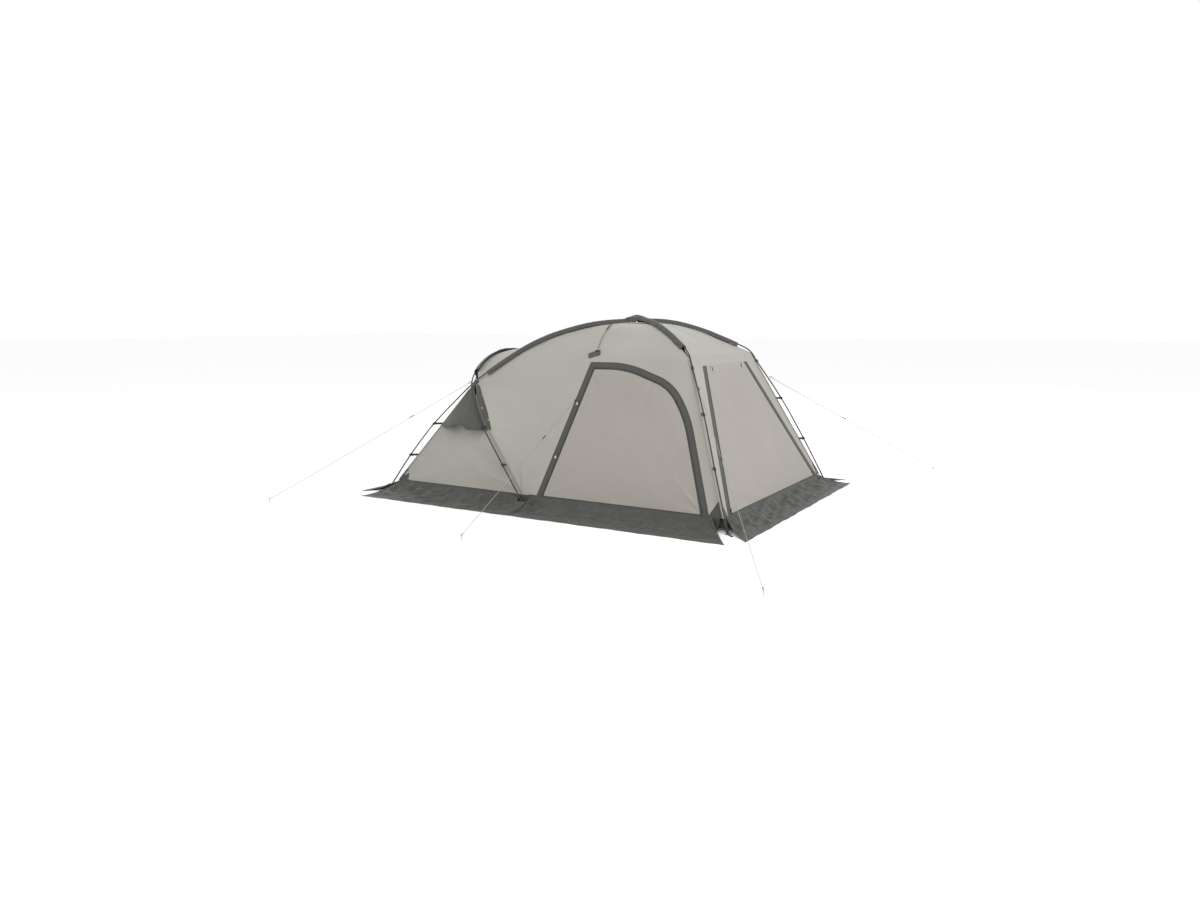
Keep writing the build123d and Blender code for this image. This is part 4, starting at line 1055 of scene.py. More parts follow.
def trim(stem, node, way, line, rests_on, stands_for=()):
    """Dark band, zip tape and zip coil along one doorway edge; line(inset, step) gives its points."""
    flat = np.stack([line(inset, 14 * COARSE) for inset in INSETS], 1)
    run = run_length(flat[:, 0])
    inset_row = np.broadcast_to(INSETS, flat.shape[:2])
    run_row = np.broadcast_to(run[:, None], flat.shape[:2])
    edge = np.minimum(inset_row, BAND - inset_row)
    puckers = 0.5 * waves(run_row, inset_row, 60, 33) * np.clip(edge / 8, 0, 1)
    lift = 1.0 + 1.2 * np.clip(edge / 5, 0, 1) ** 0.5
    panel(stem + "_band", way.on_wall(flat), way.out, *TRIM, lift=lift, relief=puckers,
          thickness=1.6, uv=np.stack([run_row, inset_row], -1), seam=np.stack([run_row, edge], -1),
          stands_for=[node], held="stretched", rests_on=rests_on)
    tape = way.on_wall(np.stack([line(inset, 14 * COARSE) for inset in TAPE_INSETS], 1))
    panel(stem + "_zip_tape", tape, way.out, dark_webbing, "zip_coil", lift=3.2, thickness=0.5)
    coil = way.on_wall(np.stack([line(inset, 2.2 * COARSE) for inset in COIL_INSETS], 1))
    teeth = np.where(np.arange(len(coil)) % 2, 0.25, 0.9)[:, None] * np.array([0, 1, 1, 1, 1, 0])
    panel(stem + "_zip_coil", coil, way.out, zip_plastic, "zip_coil", lift=3.4, relief=teeth, thickness=0.4,
          stands_for=stands_for)


trim("door_side_{side}", "side_band_{side}", DOORWAYS["side"],
     lambda inset, step: DOORWAYS["side"].line(inset, step=step), ["wall_cloth_side_{side}"])
for key, (half, lean, top) in END_TOPS.items():
    way = DOORWAYS[key]
    trim("door_" + key + "_{side}", key + "_band", way, lambda inset, step: leg_line(key, inset, step),
         ["wall_cloth_" + key], stands_for=["door_zips"] if key == "rear" else ())
    header = []
    for height in np.linspace(top - BAND, top, 9):
        reach = half + lean * (top - height) - BAND * (1 + (lean / way.slope) ** 2) ** 0.5
        across = np.linspace(-reach, reach, 90 // COARSE)
        header.append(np.stack([across, np.full_like(across, height * way.slope)], -1))
    header = np.array(header)
    above = np.linspace(0, BAND, 9)
    edge = np.broadcast_to(np.minimum(above, BAND - above)[:, None], header.shape[:2])
    panel("door_" + key + "_header", way.on_wall(header), way.out, *SHELL_EDGE, lift=1.4,
          relief=0.6 * swell(header, 80, 34) * np.clip(edge / 8, 0, 1), thickness=1.2, uv=header,
          seam=sewn(header, edge), held="stretched", rests_on=["wall_cloth_" + key])

# doors: cloth inside each band; points at HINGE_START and HINGE_BEND from the hinge line into the door are
# reckoned but not used
HINGE_START, HINGE_BEND, DOOR_BOTTOM = 2, 90, WALL_BOTTOM + 10
for key, way in DOORWAYS.items():
    rim = way.line(BAND + DOOR_GAP, height=DOOR_BOTTOM, step=14 * COARSE)
    rows = 64 // COARSE
    climb = np.linspace(0, 1, rows)[:, None]
    flat = np.stack([np.broadcast_to(rim[:, 0], (rows, len(rim))),
                     mix(DOOR_BOTTOM * way.slope, rim[:, 1], climb)], -1)
    a, b = flat[..., 0], flat[..., 1]
    left, right, top = a.min(), a.max(), b.max()
    off = -beside(rim, a, b)
    relief = pulled(1.8 * waves(a, b, 380, 36) + 0.7 * waves(a, b, 110, 37), a, b,
                    [((left, b.min()), 45, 300, 5.0), ((right, b.min()), 130, 300, 5.0),
                     ((rim[len(rim) // 4, 0], top), -70, 300, 5.0), ((right * 0.6, top), -110, 300, 5.0)],
                    100)
    relief = relief * np.clip(off / 50, 0, 1) * np.clip((b - b.min()) / 30, 0, 1)
    doors = panel(DOOR_NAMES[key].replace("door", "door_cloth"), way.on_wall(flat), way.out, door_cloth,
                  "shell_fabric", relief=relief, uv=flat, weld=True, body=None, stands_for=[DOOR_NAMES[key]],
                  held="stretched", rests_on=[BAND_PIECES[key]])
    for door, (side, sign) in zip(doors, SIDES.items()):
        if key == "side":
            start, above = way.on_wall(rim[:1])[0], way.on_wall(rim[len(rim) // 8][None])[0]
            into = np.cross(unit(above - start), way.out)
            into = into if into[0] > 0 else -into
            body = f"door_{side}_body"
        else:
            start = way.on_wall(V(0, top)[None])[0]
            into = unit(way.on_wall(V(0, top - 100)[None])[0] - start)
            body, sign = f"door_{key}_body", 1
        ends = [(start + into * reach) * V(1, sign, 1) * MM for reach in (HINGE_START, HINGE_BEND)]
        tuple(ends[0])
        tuple(ends[1])
        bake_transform(door)

# ------------------------------------------------------------------------ skirts
SKIRT_X, SKIRT_Y, SKIRT_END_X, SKIRT_END_Y = 1620, 1435, 1780, 1290


LYING, SKIRT_CURVE = 0.9, 1.8        # height of cloth on the ground, and how soon a skirt reaches it


def fallen(share):
    """Height of a skirt's smooth surface, by its share of the way from hem to seam."""
    return (WALL_BOTTOM - 2.5) * share ** SKIRT_CURVE


def skirt(name, top_a, top_b, hem_a, hem_b, node, seed, pulls, rests_on):
    """Loose cloth from a wall's foot to its hem on the ground, rumpled and never under it."""
    length = size(top_b - top_a)[0]
    u = np.linspace(0, 1, max(12, int(length / 16)) // COARSE)
    v = np.linspace(0, 1, 44 // COARSE)
    top, hem = mix(top_a, top_b, u[:, None]), mix(hem_a, hem_b, u[:, None])
    grid = mix(top[None], hem[None], v[:, None, None])
    a = np.broadcast_to(u * length, grid.shape[:2])
    b = np.broadcast_to((v * size(hem_a - top_a)[0])[:, None], grid.shape[:2])
    folds = (8.5 * waves(a, b * 2.2, 230, seed) + 5.6 * waves(a, b, 85, seed + 1)
             + 2.4 * waves(a, b, 38, seed + 2))
    for k, (at, toward, reach, height) in enumerate(pulls):
        folds = folds + 2.0 * height * creases(a, b, at, toward, reach, seed + 3 + k, folds=6, spread=45)
    folds = folds * np.clip(v / 0.1, 0, 1)[:, None] * rise(u, 0.01)[None, :]
    edge_tuck = np.clip((1 - v) / 0.04, 0, 1)[:, None]
    calmer = mix(0.35, 1.0, np.clip((1 - v[:, None]) * 2.2, 0, 1))
    height = LYING + fallen(1 - v[:, None]) + folds * calmer * edge_tuck
    grid[..., 2] = np.where(height > 3, height, LYING + np.exp((np.minimum(height, 3) - 3) / 2.1) * 2.1)
    wander = 3.5 * np.sin(u * length / 61 + seed) + 2.5 * np.sin(u * length / 23 + 2 * seed)
    outwards = unit(hem - top)
    grid = grid + outwards[None] * (wander[None, :] * (v[:, None] ** 3))[..., None]
    flat = lengths(grid)
    hem_off = np.broadcast_to((1 - v)[:, None] * 350, grid.shape[:2])
    panel(name, grid, UP, *SKIRT, lift=0.0, thickness=1.0, uv=flat, seam=sewn(flat, hem_off),
          stands_for=[node], held="laid", rests_on=rests_on)


END_HALF = 1046          # half the width of the front and rear walls at their foot
near_top_y = side_plane(WALL_BOTTOM) - 1
skirt("skirt_cloth_{side}_left", V(-1480, near_top_y, 0), V(-215, near_top_y, 0), V(-SKIRT_X, -SKIRT_Y, 0),
      V(-118, -SKIRT_Y, 0), "skirt_{side}", 120,
      [((1262, 10), 150, 330, 13), ((1262, 10), 110, 200, 8), ((10, 10), 60, 200, 7)],
      ["wall_cloth_side_{side}"])
skirt("skirt_cloth_{side}_right", V(-102, near_top_y, 0), V(1446, near_top_y, 0), V(-106, -SKIRT_Y, 0),
      V(SKIRT_X + 72, -SKIRT_Y, 0), "skirt_{side}", 130,
      [((0, 5), 35, 430, 12), ((0, 5), 70, 200, 9), ((1554, 5), 120, 330, 9), ((800, 0), 90, 150, 4)],
      ["wall_cloth_side_{side}"])
rear_top_x = rear_plane(WALL_BOTTOM) + 1
skirt("skirt_cloth_rear", V(rear_top_x, -END_HALF, 0), V(rear_top_x, END_HALF, 0),
      V(SKIRT_END_X, -SKIRT_END_Y, 0), V(SKIRT_END_X, SKIRT_END_Y, 0), "skirt_rear", 140,
      [((0, 5), 45, 260, 9), ((2092, 5), 135, 260, 9), ((1000, 0), 80, 160, 4)], ["wall_cloth_rear"])
front_top_x = front_seam(WALL_BOTTOM)[0] - 1
skirt("skirt_cloth_front", V(front_top_x, -END_HALF, 0), V(front_top_x, END_HALF, 0),
      V(-SKIRT_END_X, -SKIRT_END_Y, 0), V(-SKIRT_END_X, SKIRT_END_Y, 0), "skirt_front", 150,
      [((0, 5), 45, 260, 9), ((2092, 5), 135, 260, 9)], ["wall_cloth_front"])

# gathered cloth in front of the hoop pole's foot
FLAP_START, FLAP_ROWS = 0.245, 26    # share of the skirt's width where the flap begins
flap = []
for v in np.linspace(0, 1, FLAP_ROWS):
    y = mix(near_top_y, -SKIRT_Y, mix(FLAP_START, 1, v))
    fall = 1 - mix(FLAP_START, 1, v)
    left, right = mix(-118, -215, fall) - 6, mix(-106, -102, fall) + 6
    flap.append([V(x, y, 2.2 + fallen(fall)) for x in np.linspace(left, right, 22)])
flap = np.array(flap)
flat = lengths(flap)
ripple = np.clip(3.2 * waves(flap[..., 0] * 1.6, flap[..., 1] * 0.35, 46, 181), -2.0, 6)
flap[..., 2] += ripple * np.linspace(1, 0.2, FLAP_ROWS)[:, None]
hem_off = np.broadcast_to(np.linspace(0, 300, FLAP_ROWS)[:, None], flap.shape[:2])
panel("split_flap_{side}", flap, UP, *SKIRT, lift=1.0, thickness=1.0, uv=flat,
      seam=sewn(flat, hem_off), held="gathered", rests_on=["skirt_cloth_{side}_left"])


def tucked(name, counts, span, away, ripple, low):
    """Cloth drawn in upright folds from the wall's foot to the ground.

    counts are rows and columns; span is where it starts and ends in X and how much it narrows;
    away is its distance from the wall at the top and added at the bottom; ripple is the folds'
    height, pitch and least share; low is its bottom's height.
    """
    grid = []
    for v in np.linspace(0, 1, counts[0]):
        x = np.linspace(span[0], span[1] - span[2] * v, counts[1])
        y = near_top_y - away[0] - away[1] * v + ripple[0] * np.sin(x / ripple[1] + 2 * v) * (ripple[2] + v)
        grid.append(np.stack([x, y, np.full_like(x, mix(WALL_BOTTOM + low, low, v))], -1))
    flat = lengths(np.array(grid))
    panel(name, np.array(grid), V(0, -1, 0), *SKIRT, lift=0.0, thickness=1.0, uv=flat, seam=flat,
          held="gathered", rests_on=["wall_cloth_side_{side}"])


# behind the hoop pole's foot, and between the doorway and the corner pole
tucked("split_back_{side}", (18, 20), (-225, -92, 0), (3, 20), (2.5, 9.0, 0.3), 2)
tucked("corner_tuck_{side}", (16, 14), (1436, 1508, 10), (2, 9), (2.2, 8.0, 0.2), 3)

# ----------------------------------------------------------------------- sleeves
UPPER = [(-40, -20), (-35, -15), (-28, -8.2), (-19, -0.8), (-12.5, 4.9), (-8.5, 8.2), (-4.5, 10.2), (0, 10.8),
         (4.5, 10.2), (8.5, 8.2), (12.5, 4.9), (19, -0.8), (28, -8.2), (35, -15), (40, -20)]
UNDER = [(40, -21.4), (28, -15.6), (16, -12), (9, -10.6), (0, -10.2), (-9, -10.6), (-16, -12), (-28, -15.6),
         (-40, -21.4)]
SECTION = np.array(UPPER + UNDER, float)


def sleeve(name, run, first, last, seed, stands_for=(), wide=1.0):
    """Cloth sleeve, gathered a little along the pole, open round the pole at both ends."""
    length = (last - first) * run.length
    shares = np.linspace(first, last, max(8, int(length / (7 * COARSE))))
    points, tangents = run.at(shares), run.tangent(shares)
    normal = outward(points, tangents)
    across = np.cross(normal, tangents)
    along_run = (shares - first) * run.length
    wing = np.clip((np.abs(SECTION[:, 0]) - 9) / 20, 0, 1)
    top = (SECTION[:, 1] > -21) & (np.arange(len(SECTION)) < len(UPPER))
    a, b = np.meshgrid(along_run, SECTION[:, 0] * 1.6, indexing="ij")
    gather = 1.0 * waves(a, b, 34, seed) + 0.9 * waves(a, b * 0.3, 90, seed + 1)
    height = SECTION[None, :, 1] + gather * (0.35 + wing)[None, :] * top[None, :]
    spread = 1 + (wide - 1) * wing
    side = SECTION[None, :, 0] * spread * (1 + 0.02 * waves(a, b * 0, 75, seed + 2) * wing[None, :])
    rings = points[:, None] + across[:, None] * side[..., None] + normal[:, None] * height[..., None]
    faces = grid_faces(len(rings), len(SECTION), wrap=True)
    around = run_length(SECTION * np.stack([spread, np.ones_like(spread)], -1))
    uv = np.stack(np.broadcast_arrays(along_run[:, None], around[None, :]), -1)
    tip = SECTION[:, 0].max() - np.abs(SECTION[:, 0])
    seam = np.stack(np.broadcast_arrays(along_run[:, None], tip[None, :]), -1)
    for piece in make(name, rings, faces, *TRIM, uv=uv, seam=seam, stands_for=stands_for, thickness=0.6):
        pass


u_start = pole_a.near(V(-849, -681, 1035))
u_crown = pole_a.near(APEX - V(0, 0, 22))
u_end = pole_a.near(V(948, 530, 1270))
crown_gap = 62 / pole_a.length
sleeve("sleeve_cloth_a_left", pole_a, u_start, u_crown - crown_gap, 160, ["sleeve_a"])
sleeve("sleeve_cloth_a_right", pole_a, u_crown + crown_gap, u_end, 165, ["sleeve_a"])
sleeve("sleeve_cloth_b", pole_b, u_start, u_end, 170, ["sleeve_b"], wide=0.72)
hoop_start = hoop.near(V(-1010, -625, 1025))
sleeve("sleeve_cloth_hoop", hoop, hoop_start, 1 - hoop_start, 175, ["sleeve_hoop"], wide=1.2)

# light cloth closing the shell under the crossing of the poles
FILL_REACH = np.linspace(6, 250, 22)      # distances from the crown along the sewn lines
fill_lines = {
    "side_{side}": ([p for p in edge_side if p[1] < 0][::-1], [flip(p) for p in edge_roof if p[1] > 0],
                    unit(V(0.05, -0.5, 0.87))),
    "rear": ([flip(p) for p in edge_side if p[1] > 0], [p for p in edge_side if p[1] > 0],
             unit(V(0.4, 0, 0.92))),
    "roof": ([p for p in edge_roof if p[1] < 0][::-1], [flip(p) for p in edge_roof if p[1] < 0][::-1],
             unit(V(-0.3, 0, 0.95))),
}
for key, (one_side, other_side, out) in fill_lines.items():
    start, stop = walk(one_side, FILL_REACH), walk(other_side, FILL_REACH)
    rows = mix(start[:, None], stop[:, None], np.linspace(0, 1, 24)[None, :, None])
    flat = lengths(rows)
    hem = np.broadcast_to(np.linspace(240, 0, 22)[:, None], rows.shape[:2])
    panel("crown_cloth_" + key, rows, out, *SHELL_EDGE, lift=2.6, thickness=1.0, uv=flat,
          seam=sewn(flat, hem), held="stretched", rests_on=["main_pole_a"])


# ------------------------------------------------------------------ seam tapes
def seam_tape(name, points, out, width, finish, slot, lift):
    line = resample(points, 14)
    way = unit(np.gradient(line, axis=0))
    out = unit(np.broadcast_to(out, line.shape) - way * np.sum(way * out, -1, keepdims=True))
    ribbon(name, line, np.cross(way, out), out, width, finish, slot, lift=lift, crown=1.0, thickness=1.1)


def along_foot(a, b):
    return [V(*a, WALL_BOTTOM), V(*b, WALL_BOTTOM)]


seam_tape("corner_tape_rear_{side}", [rear_seam(WALL_BOTTOM), rear_seam(SHOULDER - 4)],
          unit(NEAR_OUT + REAR_OUT), 20, *SHELL_EDGE, 1.9)
seam_tape("corner_tape_front_{side}", [front_seam(WALL_BOTTOM), front_seam(880)],
          unit(NEAR_OUT + FRONT_OUT), 20, *SHELL_EDGE, 1.9)
seam_tape("crease_tape_{side}", [p for p in crease if WALL_BOTTOM < p[2] < HOOD_LOW + 8],
          V(-0.35, -0.9, 0.25), 18, *SHELL_EDGE, 2.2)
for key, out, a, b in (
        ("side_{side}_left", NEAR_OUT, (-1480, near_top_y), (-262, near_top_y)),
        ("side_{side}_right", NEAR_OUT, (-135, near_top_y), (1446, near_top_y)),
        ("rear", REAR_OUT, (rear_top_x, -END_HALF), (rear_top_x, END_HALF)),
        ("front", FRONT_OUT, (front_top_x, -END_HALF), (front_top_x, END_HALF))):
    seam_tape("skirt_seam_" + key, along_foot(a, b), out, 16, *TRIM, 1.0)


def corner_patch(name, corner, along_a, along_b, out):
    """Three-cornered reinforcement sewn on a wall's corner."""
    grid = []
    for t in np.linspace(0, 1, 12):
        start, end = corner + along_a * t, corner + along_b * t
        grid.append(mix(start, end, np.linspace(0, 1, 14)[:, None]))
    grid = np.array(grid)
    flat = lengths(grid)
    edge = np.broadcast_to((1 - np.linspace(0, 1, 12))[:, None] * size(along_a)[0] * 0.7, grid.shape[:2])
    panel(name, grid, out, *TRIM, lift=2.2, thickness=1.0, weld=True, uv=flat,
          relief=0.7 * swell(flat, 50, 44), seam=sewn(flat, edge))


for seam_line, up_to, patches in (
        (rear_seam, 215, (("side_rear", V(-120, 0, 0), NEAR_OUT), ("rear", V(0, 70, 0), REAR_OUT))),
        (front_seam, 205, (("side_front", V(120, 0, 0), NEAR_OUT), ("front", V(0, 100, 0), FRONT_OUT)))):
    corner = seam_line(WALL_BOTTOM)
    for key, sideways, out in patches:
        corner_patch("patch_" + key + "_{side}", corner, seam_line(up_to) - corner, sideways, out)

# ------------------------------------------------------------- clips and straps
CLIP_R = 9.5
clip_spots = [
    (pole_b, V(1078, -660, 1120), "corner"), (pole_b, V(1256, -828, 791), "corner"),
    (pole_b, V(1418, -991, 421), "corner"), (pole_a, V(-1242, -925, 591), "front"),
    (pole_a, V(-1420, -1035, 317), "front"), (hoop, V(-400, -1072, 315), "crease"),
    (hoop, V(-649, -1003, 603), "crease"),
]
seam_at = {"corner": rear_seam, "front": front_seam, "crease": lambda z: at_height(crease, z)}
for index, (run, spot, kind) in enumerate(clip_spots):
    share = run.near(spot)
    point, tangent = run.at(share), run.tangent(share)
    target = seam_at[kind](point[2])
    reach = target - point
    span, line = size(reach)[0], unit(reach)
    flat_way = unit(tangent - line * (tangent @ line))
    facing = np.cross(line, flat_way)
    slab(f"clip_body_{index}_{{side}}", point + line * (CLIP_R + 2), flat_way, facing, (22, 7, 9), *PLASTIC,
         bevel=2.0)
    hook = [point - line * 10 + flat_way * 9, point - line * 12.5, point - line * 10 - flat_way * 9]
    tube(f"clip_lip_{index}_{{side}}", resample(hook, 4), 1.8, *PLASTIC, sides=8)
    if span >= CLIP_R + 16:
        start, stop = point + line * (CLIP_R + 5), target - line * 2
        middle = (start + stop) / 2 + facing * 1.5
        tape = resample(Run([start, middle, stop]).points, 4)
        ribbon(f"clip_tape_{index}_{{side}}", tape, flat_way, facing, 16, *WEBBING, thickness=1.4,
               stands_for=["clip_webbing"] if index == 0 else ())
    anchor = [target - line * 3, target + V(0, 0, 0.1) + line * 16]
    ribbon(f"clip_anchor_{index}_{{side}}", resample(anchor, 3), flat_way, facing, 20, *TRIM, thickness=1.6,
           crown=0.4)

PLATE_PROFILE = ((12.6, 1.2), (12.9, 2.4), (14, 2.9), (18, 2.6), (21.5, 2.4), (22, 1.2), (18, 0.9), (13, 0.9),
                 (12.6, 1.2))      # radius and height round a foot plate's section
STRAP_START, STRAP_REACH = 13, 75      # from a pole's middle, along the ground
feet = [(V(FOOT_X, -FOOT_Y, 0), V(1, -1, 0)), (V(-FOOT_X, -FOOT_Y, 0), V(-1, -1, 0)),
        (V(HOOP_FOOT_X, -FOOT_Y, 0), V(0, -1, 0))]
for index, (foot, away) in enumerate(feet):
    away = unit(away)
    beside_way = np.cross(UP, away)
    strap = [foot + away * d + V(0, 0, 1.2 + 1.6 * (d > 20) * (1 - abs(d - 48) / 30))
             for d in np.linspace(STRAP_START, STRAP_REACH, 16)]
    ribbon(f"foot_strap_{index}_{{side}}", strap, beside_way, UP, 16, *WEBBING, thickness=1.2,
           crown=0.3, stands_for=["corner_straps"] if index == 0 else ())
    disc = np.array([ring_points(foot + V(0, 0, z), away, beside_way, r, 36) for r, z in PLATE_PROFILE])
    make(f"foot_plate_{index}_{{side}}", disc, grid_faces(len(disc), 36, wrap=True), *PEG_METAL)
    loop = ring_points(foot + away * 62 + V(0, 0, 4.2), away, beside_way, 9)
    tube(f"foot_loop_{index}_{{side}}", loop, 1.3, *GREY_CORD, closed=True, sides=8)
    if index < 2:                    # the hoop's foot has no tension strap
        base = rear_seam(WALL_BOTTOM) if index == 0 else front_seam(WALL_BOTTOM)
        start, stop = base - UP * 4, foot - away * 16 + UP * 6
        links = Run([start, (start + stop) / 2 - UP * 6, stop]).points
        ribbon(f"foot_tension_{index}_{{side}}", resample(links, 6), beside_way,
               unit(np.cross(stop - start, beside_way)), 15, *WEBBING, thickness=1.3)

# crown patch and strap over the crossing of the two main poles
b_way = pole_b.tangent(pole_b.near(APEX))
a_way = pole_a.tangent(u_crown)
b_way, a_way = unit(b_way * V(1, 1, 0)), unit(a_way * V(1, 1, 0))


def cap_point(i, j):
    squeeze = 1 - 0.34 * (i * j) ** 2
    drape = max(-46.0, 11.6 - 5.0 * i ** 2 - 22 * abs(j) ** 1.7 - 78 * abs(i * j) ** 1.1)
    return (APEX + b_way * i * 96 * squeeze + a_way * j * 92 * squeeze
            + V(0, 0, drape + 1.6 * sin(9 * i + 4 * j) * abs(j)))


cap_shares = np.linspace(-1, 1, 25)
cap = np.array([[cap_point(i, j) for j in cap_shares] for i in cap_shares])
flat = lengths(cap)
edge = np.minimum(np.minimum(flat[..., 0], flat[..., 0].max() - flat[..., 0]),
                  np.minimum(flat[..., 1], flat[..., 1].max() - flat[..., 1]))
panel("crown_patch", cap, UP, *TRIM, lift=0.4, thickness=1.2, uv=flat, seam=sewn(flat, edge), held="laid",
      rests_on=["sleeve_cloth_b"])
strap = [APEX + b_way * d + V(0, 0, 13.0 - 0.0012 * d * d) for d in np.linspace(-35, 35, 15)]
ribbon("crown_strap", strap, a_way, UP, 26, *WEBBING, thickness=1.6, stands_for=["apex_strap"])
slab("crown_buckle", APEX + V(0, 0, 14.2), b_way, a_way, (16, 30, 3.2), *PLASTIC, bevel=1.4)


# ---------------------------------------------------- toggles, loops and lifter
def toggle(name, centre, bar_way, hang_way, out, stands_for=()):
    """Moulded toggle bar held by a pale loop of tape."""
    bar = [centre + bar_way * d for d in np.linspace(-13, 13, 9)]
    thick = [3.0, 3.3, 3.1, 2.6, 2.2, 2.6, 3.1, 3.3, 3.0]
    tube(name + "_bar", bar, thick, *PLASTIC, stands_for=stands_for)
    loop = [centre - out * 2.5 + hang_way * 17 + bar_way * 5, centre + out * 0.5 + hang_way * 8 + bar_way * 5,
            centre + out * 3.5 + bar_way * 3, centre + out * 3.8, centre + out * 3.5 - bar_way * 3,
            centre + out * 0.5 + hang_way * 8 - bar_way * 5, centre - out * 2.5 + hang_way * 17 - bar_way * 5]
    tube(name + "_loop", resample(Run(loop, 2).points, 3), 1.4, *WHITE_CORD, sides=8)
    tab = resample([centre - out * 1.4 + hang_way * 12, centre - out * 1.4 + hang_way * 34], 3)
    ribbon(name + "_tab", tab, bar_way, out, 15, pale_webbing, "webbing", thickness=1.2, crown=0.4)


up_side, up_rear = unit(V(0, SIDE_LEAN, 1)), unit(V(-REAR_LEAN, 0, 1))
TOGGLE_OUT = 6.2          # from the wall to a toggle's middle
for index, (x, height) in enumerate([(134, 834), (42, 419)]):
    centre = place_side(V(x), V(height * SIDE_SLOPE))[0] + NEAR_OUT * TOGGLE_OUT
    toggle(f"door_toggle_{index}_{{side}}", centre, V(1, 0, 0), up_side * -1, NEAR_OUT,
           ["door_toggles"] if index == 0 else ())
centre = place_rear(V(-300), V(1092 * REAR_SLOPE))[0] + REAR_OUT * TOGGLE_OUT
toggle("rear_toggle_{side}", centre, up_rear, V(0, -1, 0), REAR_OUT)


def wall_point(x, height, lift):
    row = side_row(height, np.linspace(0, 1, 240))
    return np.array([np.interp(x, row[:, 0], row[:, k]) for k in range(3)]) + LIFT_OUT * lift


LIFT_OUT = V(0, -0.6, 0.8)
route = [wall_point(x, z, 16) for x, z in ((112, 1430), (138, 1365), (172, 1290), (203, 1232))]
hook_at = wall_point(205, 1218, 15)
slab("lifter_hook_{side}", hook_at, V(1, 0, 0), np.cross(LIFT_OUT, V(1, 0, 0)), (36, 8, 6), *PLASTIC,
     bevel=2.4, stands_for=["wall_lifter_{side}"])
PATCH_LONG, PATCH_SHORT, PATCH_TURN = 104, 58, radians(24)
PATCH_LIFT = 9.5          # clear of the wall's folds
patch_mid = V(190, 1196)
slope = (wall_point(patch_mid[0], patch_mid[1] + 5, 0) - wall_point(patch_mid[0], patch_mid[1] - 5, 0)) / 10
rise_per_length = 1 / size(slope)[0]


def patch_point(a, b):
    x = patch_mid[0] + a * cos(PATCH_TURN) - b * sin(PATCH_TURN)
    climb = (a * sin(PATCH_TURN) + b * cos(PATCH_TURN)) * rise_per_length
    return wall_point(x, patch_mid[1] + climb, PATCH_LIFT)


patch = np.array([[patch_point(a, b) for a in np.linspace(-PATCH_LONG / 2, PATCH_LONG / 2, 15)]
                  for b in np.linspace(-PATCH_SHORT / 2, PATCH_SHORT / 2, 9)])
flat = lengths(patch)
edge = np.minimum(flat[..., 0], flat[..., 0].max() - flat[..., 0])
panel("lifter_patch_{side}", patch, LIFT_OUT, *TRIM, lift=0.0, thickness=1.3, uv=flat,
      relief=0.6 * swell(flat, 45, 47), seam=np.stack([flat[..., 1], edge], -1))
tail = resample([wall_point(112, 1430, 14), wall_point(116, 1412, 12), wall_point(118, 1392, 8)], 4)
ribbon("lifter_tail_{side}", tail, V(1, 0, 0), unit(LIFT_OUT), 11, *WEBBING, thickness=1.2, crown=0.3)


# ----------------------------------------------------------- cords and fittings
def cord(name, points, radius, length, finish, slot, body="tent", far_end="knot", with_pieces=(),
         stands_for=()):
    """A free cord on a smooth line through its route's points."""
    for side, sign in SIDES.items():
        route = [p * V(1, sign, 1) for p in points]
        curve = bpy.data.curves.new(name.format(side=side), "CURVE")
        curve.dimensions, curve.bevel_depth, curve.bevel_resolution = "3D", radius * MM, 3
        curve.resolution_u, curve.use_fill_caps = 24, True
        spline = curve.splines.new("NURBS")
        spline.points.add(len(route) - 1)
        for knot, p in zip(spline.points, route):
            knot.co = (*(p * MM), 1.0)
        spline.order_u, spline.use_endpoint_u = 3, True
        curve.materials.append(finish)
        piece = bpy.data.objects.new(curve.name, curve)
        scene.collection.objects.link(piece)
        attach(piece, body)
        if stands_for:
            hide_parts(*[n.format(side=side) for n in stands_for])
        [n.format(side=side) for n in with_pieces]


WOUND_R, CORD_R, DROOP = 2.4, 1.9, V(0, 0, -7)


def coil(centre, aim, level, upright, span, turns, count):
    """Turns of cord wound round a line, between two distances along it."""
    angle = np.linspace(0, turns * tau, count)[:, None]
    along_line = np.linspace(*span, count)[:, None]
    return centre + aim * along_line + WOUND_R * (np.cos(angle) * level + np.sin(angle) * upright)


cord("lifter_cord_{side}", route, 2.2, 440, *GREY_CORD, far_end="fitting",
     with_pieces=["lifter_hook_{side}"])

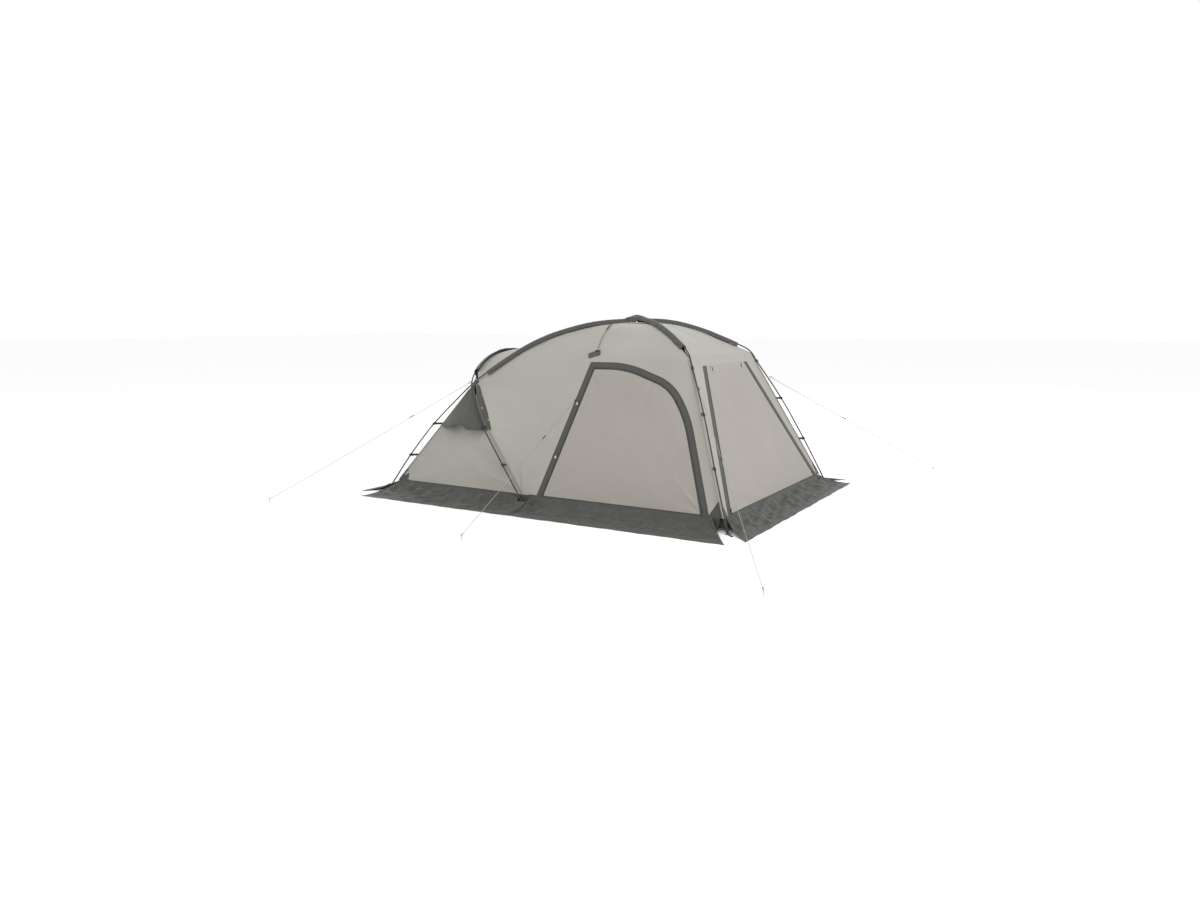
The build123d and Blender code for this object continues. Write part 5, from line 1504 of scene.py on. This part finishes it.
# where a guy line starts and ends, its peg, its lock's share of the way, and its length
GUYS = {
    "cross": (V(-966.843, -772.901, 937.527), V(-2034.88, -2024, 34.33), V(-2040, -2030, 0), 0.30, 1877),
    "wall": (V(115.695, -801.137, 830.605), V(100.087, -2202.18, 34.446), V(100, -2210, 0), 0.30, 1612),
    "leg": (V(1185.69, -766.201, 966.756), V(2295.32, -2333.39, 33.934), V(2300, -2340, 0), 0.42, 2135),
}
for key, (start, end, peg, share, length) in GUYS.items():
    aim = unit(end - start)
    level = unit(np.cross(aim, UP))
    upright = np.cross(level, aim)
    knot = f"guy_knot_{key}_{{side}}"
    ring = ring_points(peg + V(0, 0, 30), V(1, 0, 0), V(0, 1, 0), 5.6, 28)
    ring[:, 2] += 0.8 * np.sin(np.linspace(0, tau, 28, endpoint=False) * 2)
    tube(knot, ring, 1.5, *WHITE_CORD, closed=True, sides=8)
    tube(f"guy_wraps_{key}_{{side}}", coil(end - aim * 10, aim, level, upright, (-6, 6), 3, 60), 1.3,
         *WHITE_CORD, sides=8)
    eye = start - aim * 11
    tube(f"guy_ring_{key}_{{side}}", ring_points(eye, aim, upright, 9, 36), 1.5, *PLASTIC, closed=True,
         sides=10, stands_for=["guy_loops"] if key == "cross" else ())
    tube(f"guy_bend_{key}_{{side}}", coil(start + aim * 4, aim, level, upright, (-5, 7), 2.5, 50), 1.3,
         *WHITE_CORD, sides=8)
    anchor = eye - aim * 20
    loop = Run([anchor + level * 4, eye - aim * 9 + level * 3, eye - aim * 6.5, eye - aim * 9 - level * 3,
                anchor - level * 4], 2)
    tube(f"guy_anchor_{key}_{{side}}", resample(loop.points, 3), 1.6, *WEBBING, sides=8)
    middle = start + (end - start) * share
    lock_body = f"tensioner_{key}_{{side}}_body"
    slab(f"line_lock_{key}_{{side}}", middle, level, upright, (11, 6, 40), *PLASTIC, bevel=1.8, waist=0.18,
         body=lock_body, stands_for=[f"tensioner_{key}_{{side}}"])
    for place, way in (("top", -1), ("low", 1)):
        tube(f"line_eye_{key}_{place}_{{side}}",
             ring_points(middle + aim * way * 20.4, level, upright, 2.6, 16), 0.8, *PLASTIC, closed=True,
             sides=6, body=lock_body)
    cord(f"guy_cord_{key}_{{side}}", [start, mix(start, end, 0.5) + DROOP, end], CORD_R, length, *WHITE_CORD,
         with_pieces=[knot, f"guy_wraps_{key}_{{side}}"], stands_for=[f"guyline_{key}_{{side}}"])
    lean = unit(V(peg[0] - start[0], peg[1] - start[1], 0))
    peg_path = Run([peg + V(0, 0, 2.8), peg + V(0, 0, 43), peg + V(0, 0, 45) + lean * 6,
                    peg + V(0, 0, 44.5) + lean * 11], 3)
    tube(f"peg_{key}_{{side}}", peg_path.points, 2.9, *PEG_METAL, sides=12,
         stands_for=["ground_pegs"] if key == "cross" else ())


# -------------------------------------------------------------- kept CAD nodes
def refinish(finish, *nodes):
    for name in nodes:
        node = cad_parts[name]
        node.data.materials.clear()
        node.data.materials.append(finish)


refinish(pole_metal, "main_pole_a", "main_pole_b", "hoop_pole")
refinish(spigot_metal, "pole_ferrules")
refinish(shock_finish, "shock_cords")
refinish(black_plastic, "pole_tips", "pole_clips", "vent_strut_near", "vent_strut_far")
refinish(slider_metal, "slider_near", "slider_far", "slider_rear_near", "slider_rear_far")

# ------------------------------------------------------- camera, floor and light
camera_data = bpy.data.cameras.new("camera")
camera_data.sensor_width, camera_data.lens = 36, 27.155
camera_data.clip_end = 200
camera = bpy.data.objects.new("camera", camera_data)
camera.location = (3.9636, -6.8693, 1.4878)
camera.rotation_euler = (radians(81.711), 0, radians(30.738))
scene.collection.objects.link(camera)
scene.camera = camera

floor_mesh = bpy.data.meshes.new("floor")
floor_mesh.from_pydata([(-60, -60, 0), (60, -60, 0), (60, 60, 0), (-60, 60, 0)], [], [(0, 1, 2, 3)])
floor = bpy.data.objects.new("floor", floor_mesh)
floor_look = Finish("floor", Roughness=0.9, Specular_IOR_Level=0.1)
floor_look.colour(floor_look.blend(floor_look.noise(0.4), (0.96, 0.96, 0.96, 1), (0.98, 0.98, 0.98, 1)))
floor_mesh.materials.append(floor_look.material)
scene.collection.objects.link(floor)


def lamp(name, place, aim, width, power):
    data = bpy.data.lights.new(name, "AREA")
    data.shape, data.size, data.energy = "DISK", width, power
    light = bpy.data.objects.new(name, data)
    light.location = place
    way = np.array(aim, float) - np.array(place, float)
    light.rotation_euler = (atan2(float(np.hypot(way[0], way[1])), -way[2]), 0, atan2(way[0], -way[1]) + pi)
    scene.collection.objects.link(light)


lamp("key_light", (8.5, -3.0, 6.5), (0.3, 0, 0.5), 5.0, 340)
lamp("fill_light", (-3.0, -7.0, 8.0), (0, 0, 0.5), 6.0, 65)
lamp("back_light", (-4.0, 8.0, 6.0), (0, 0, 0.8), 6.0, 160)
world = bpy.data.worlds.new("studio")
world.use_nodes = True
world.node_tree.nodes["Background"].inputs["Color"].default_value = (1, 1, 1, 1)
world.node_tree.nodes["Background"].inputs["Strength"].default_value = 1.0
scene.world = world
scene.view_settings.view_transform = "Standard"
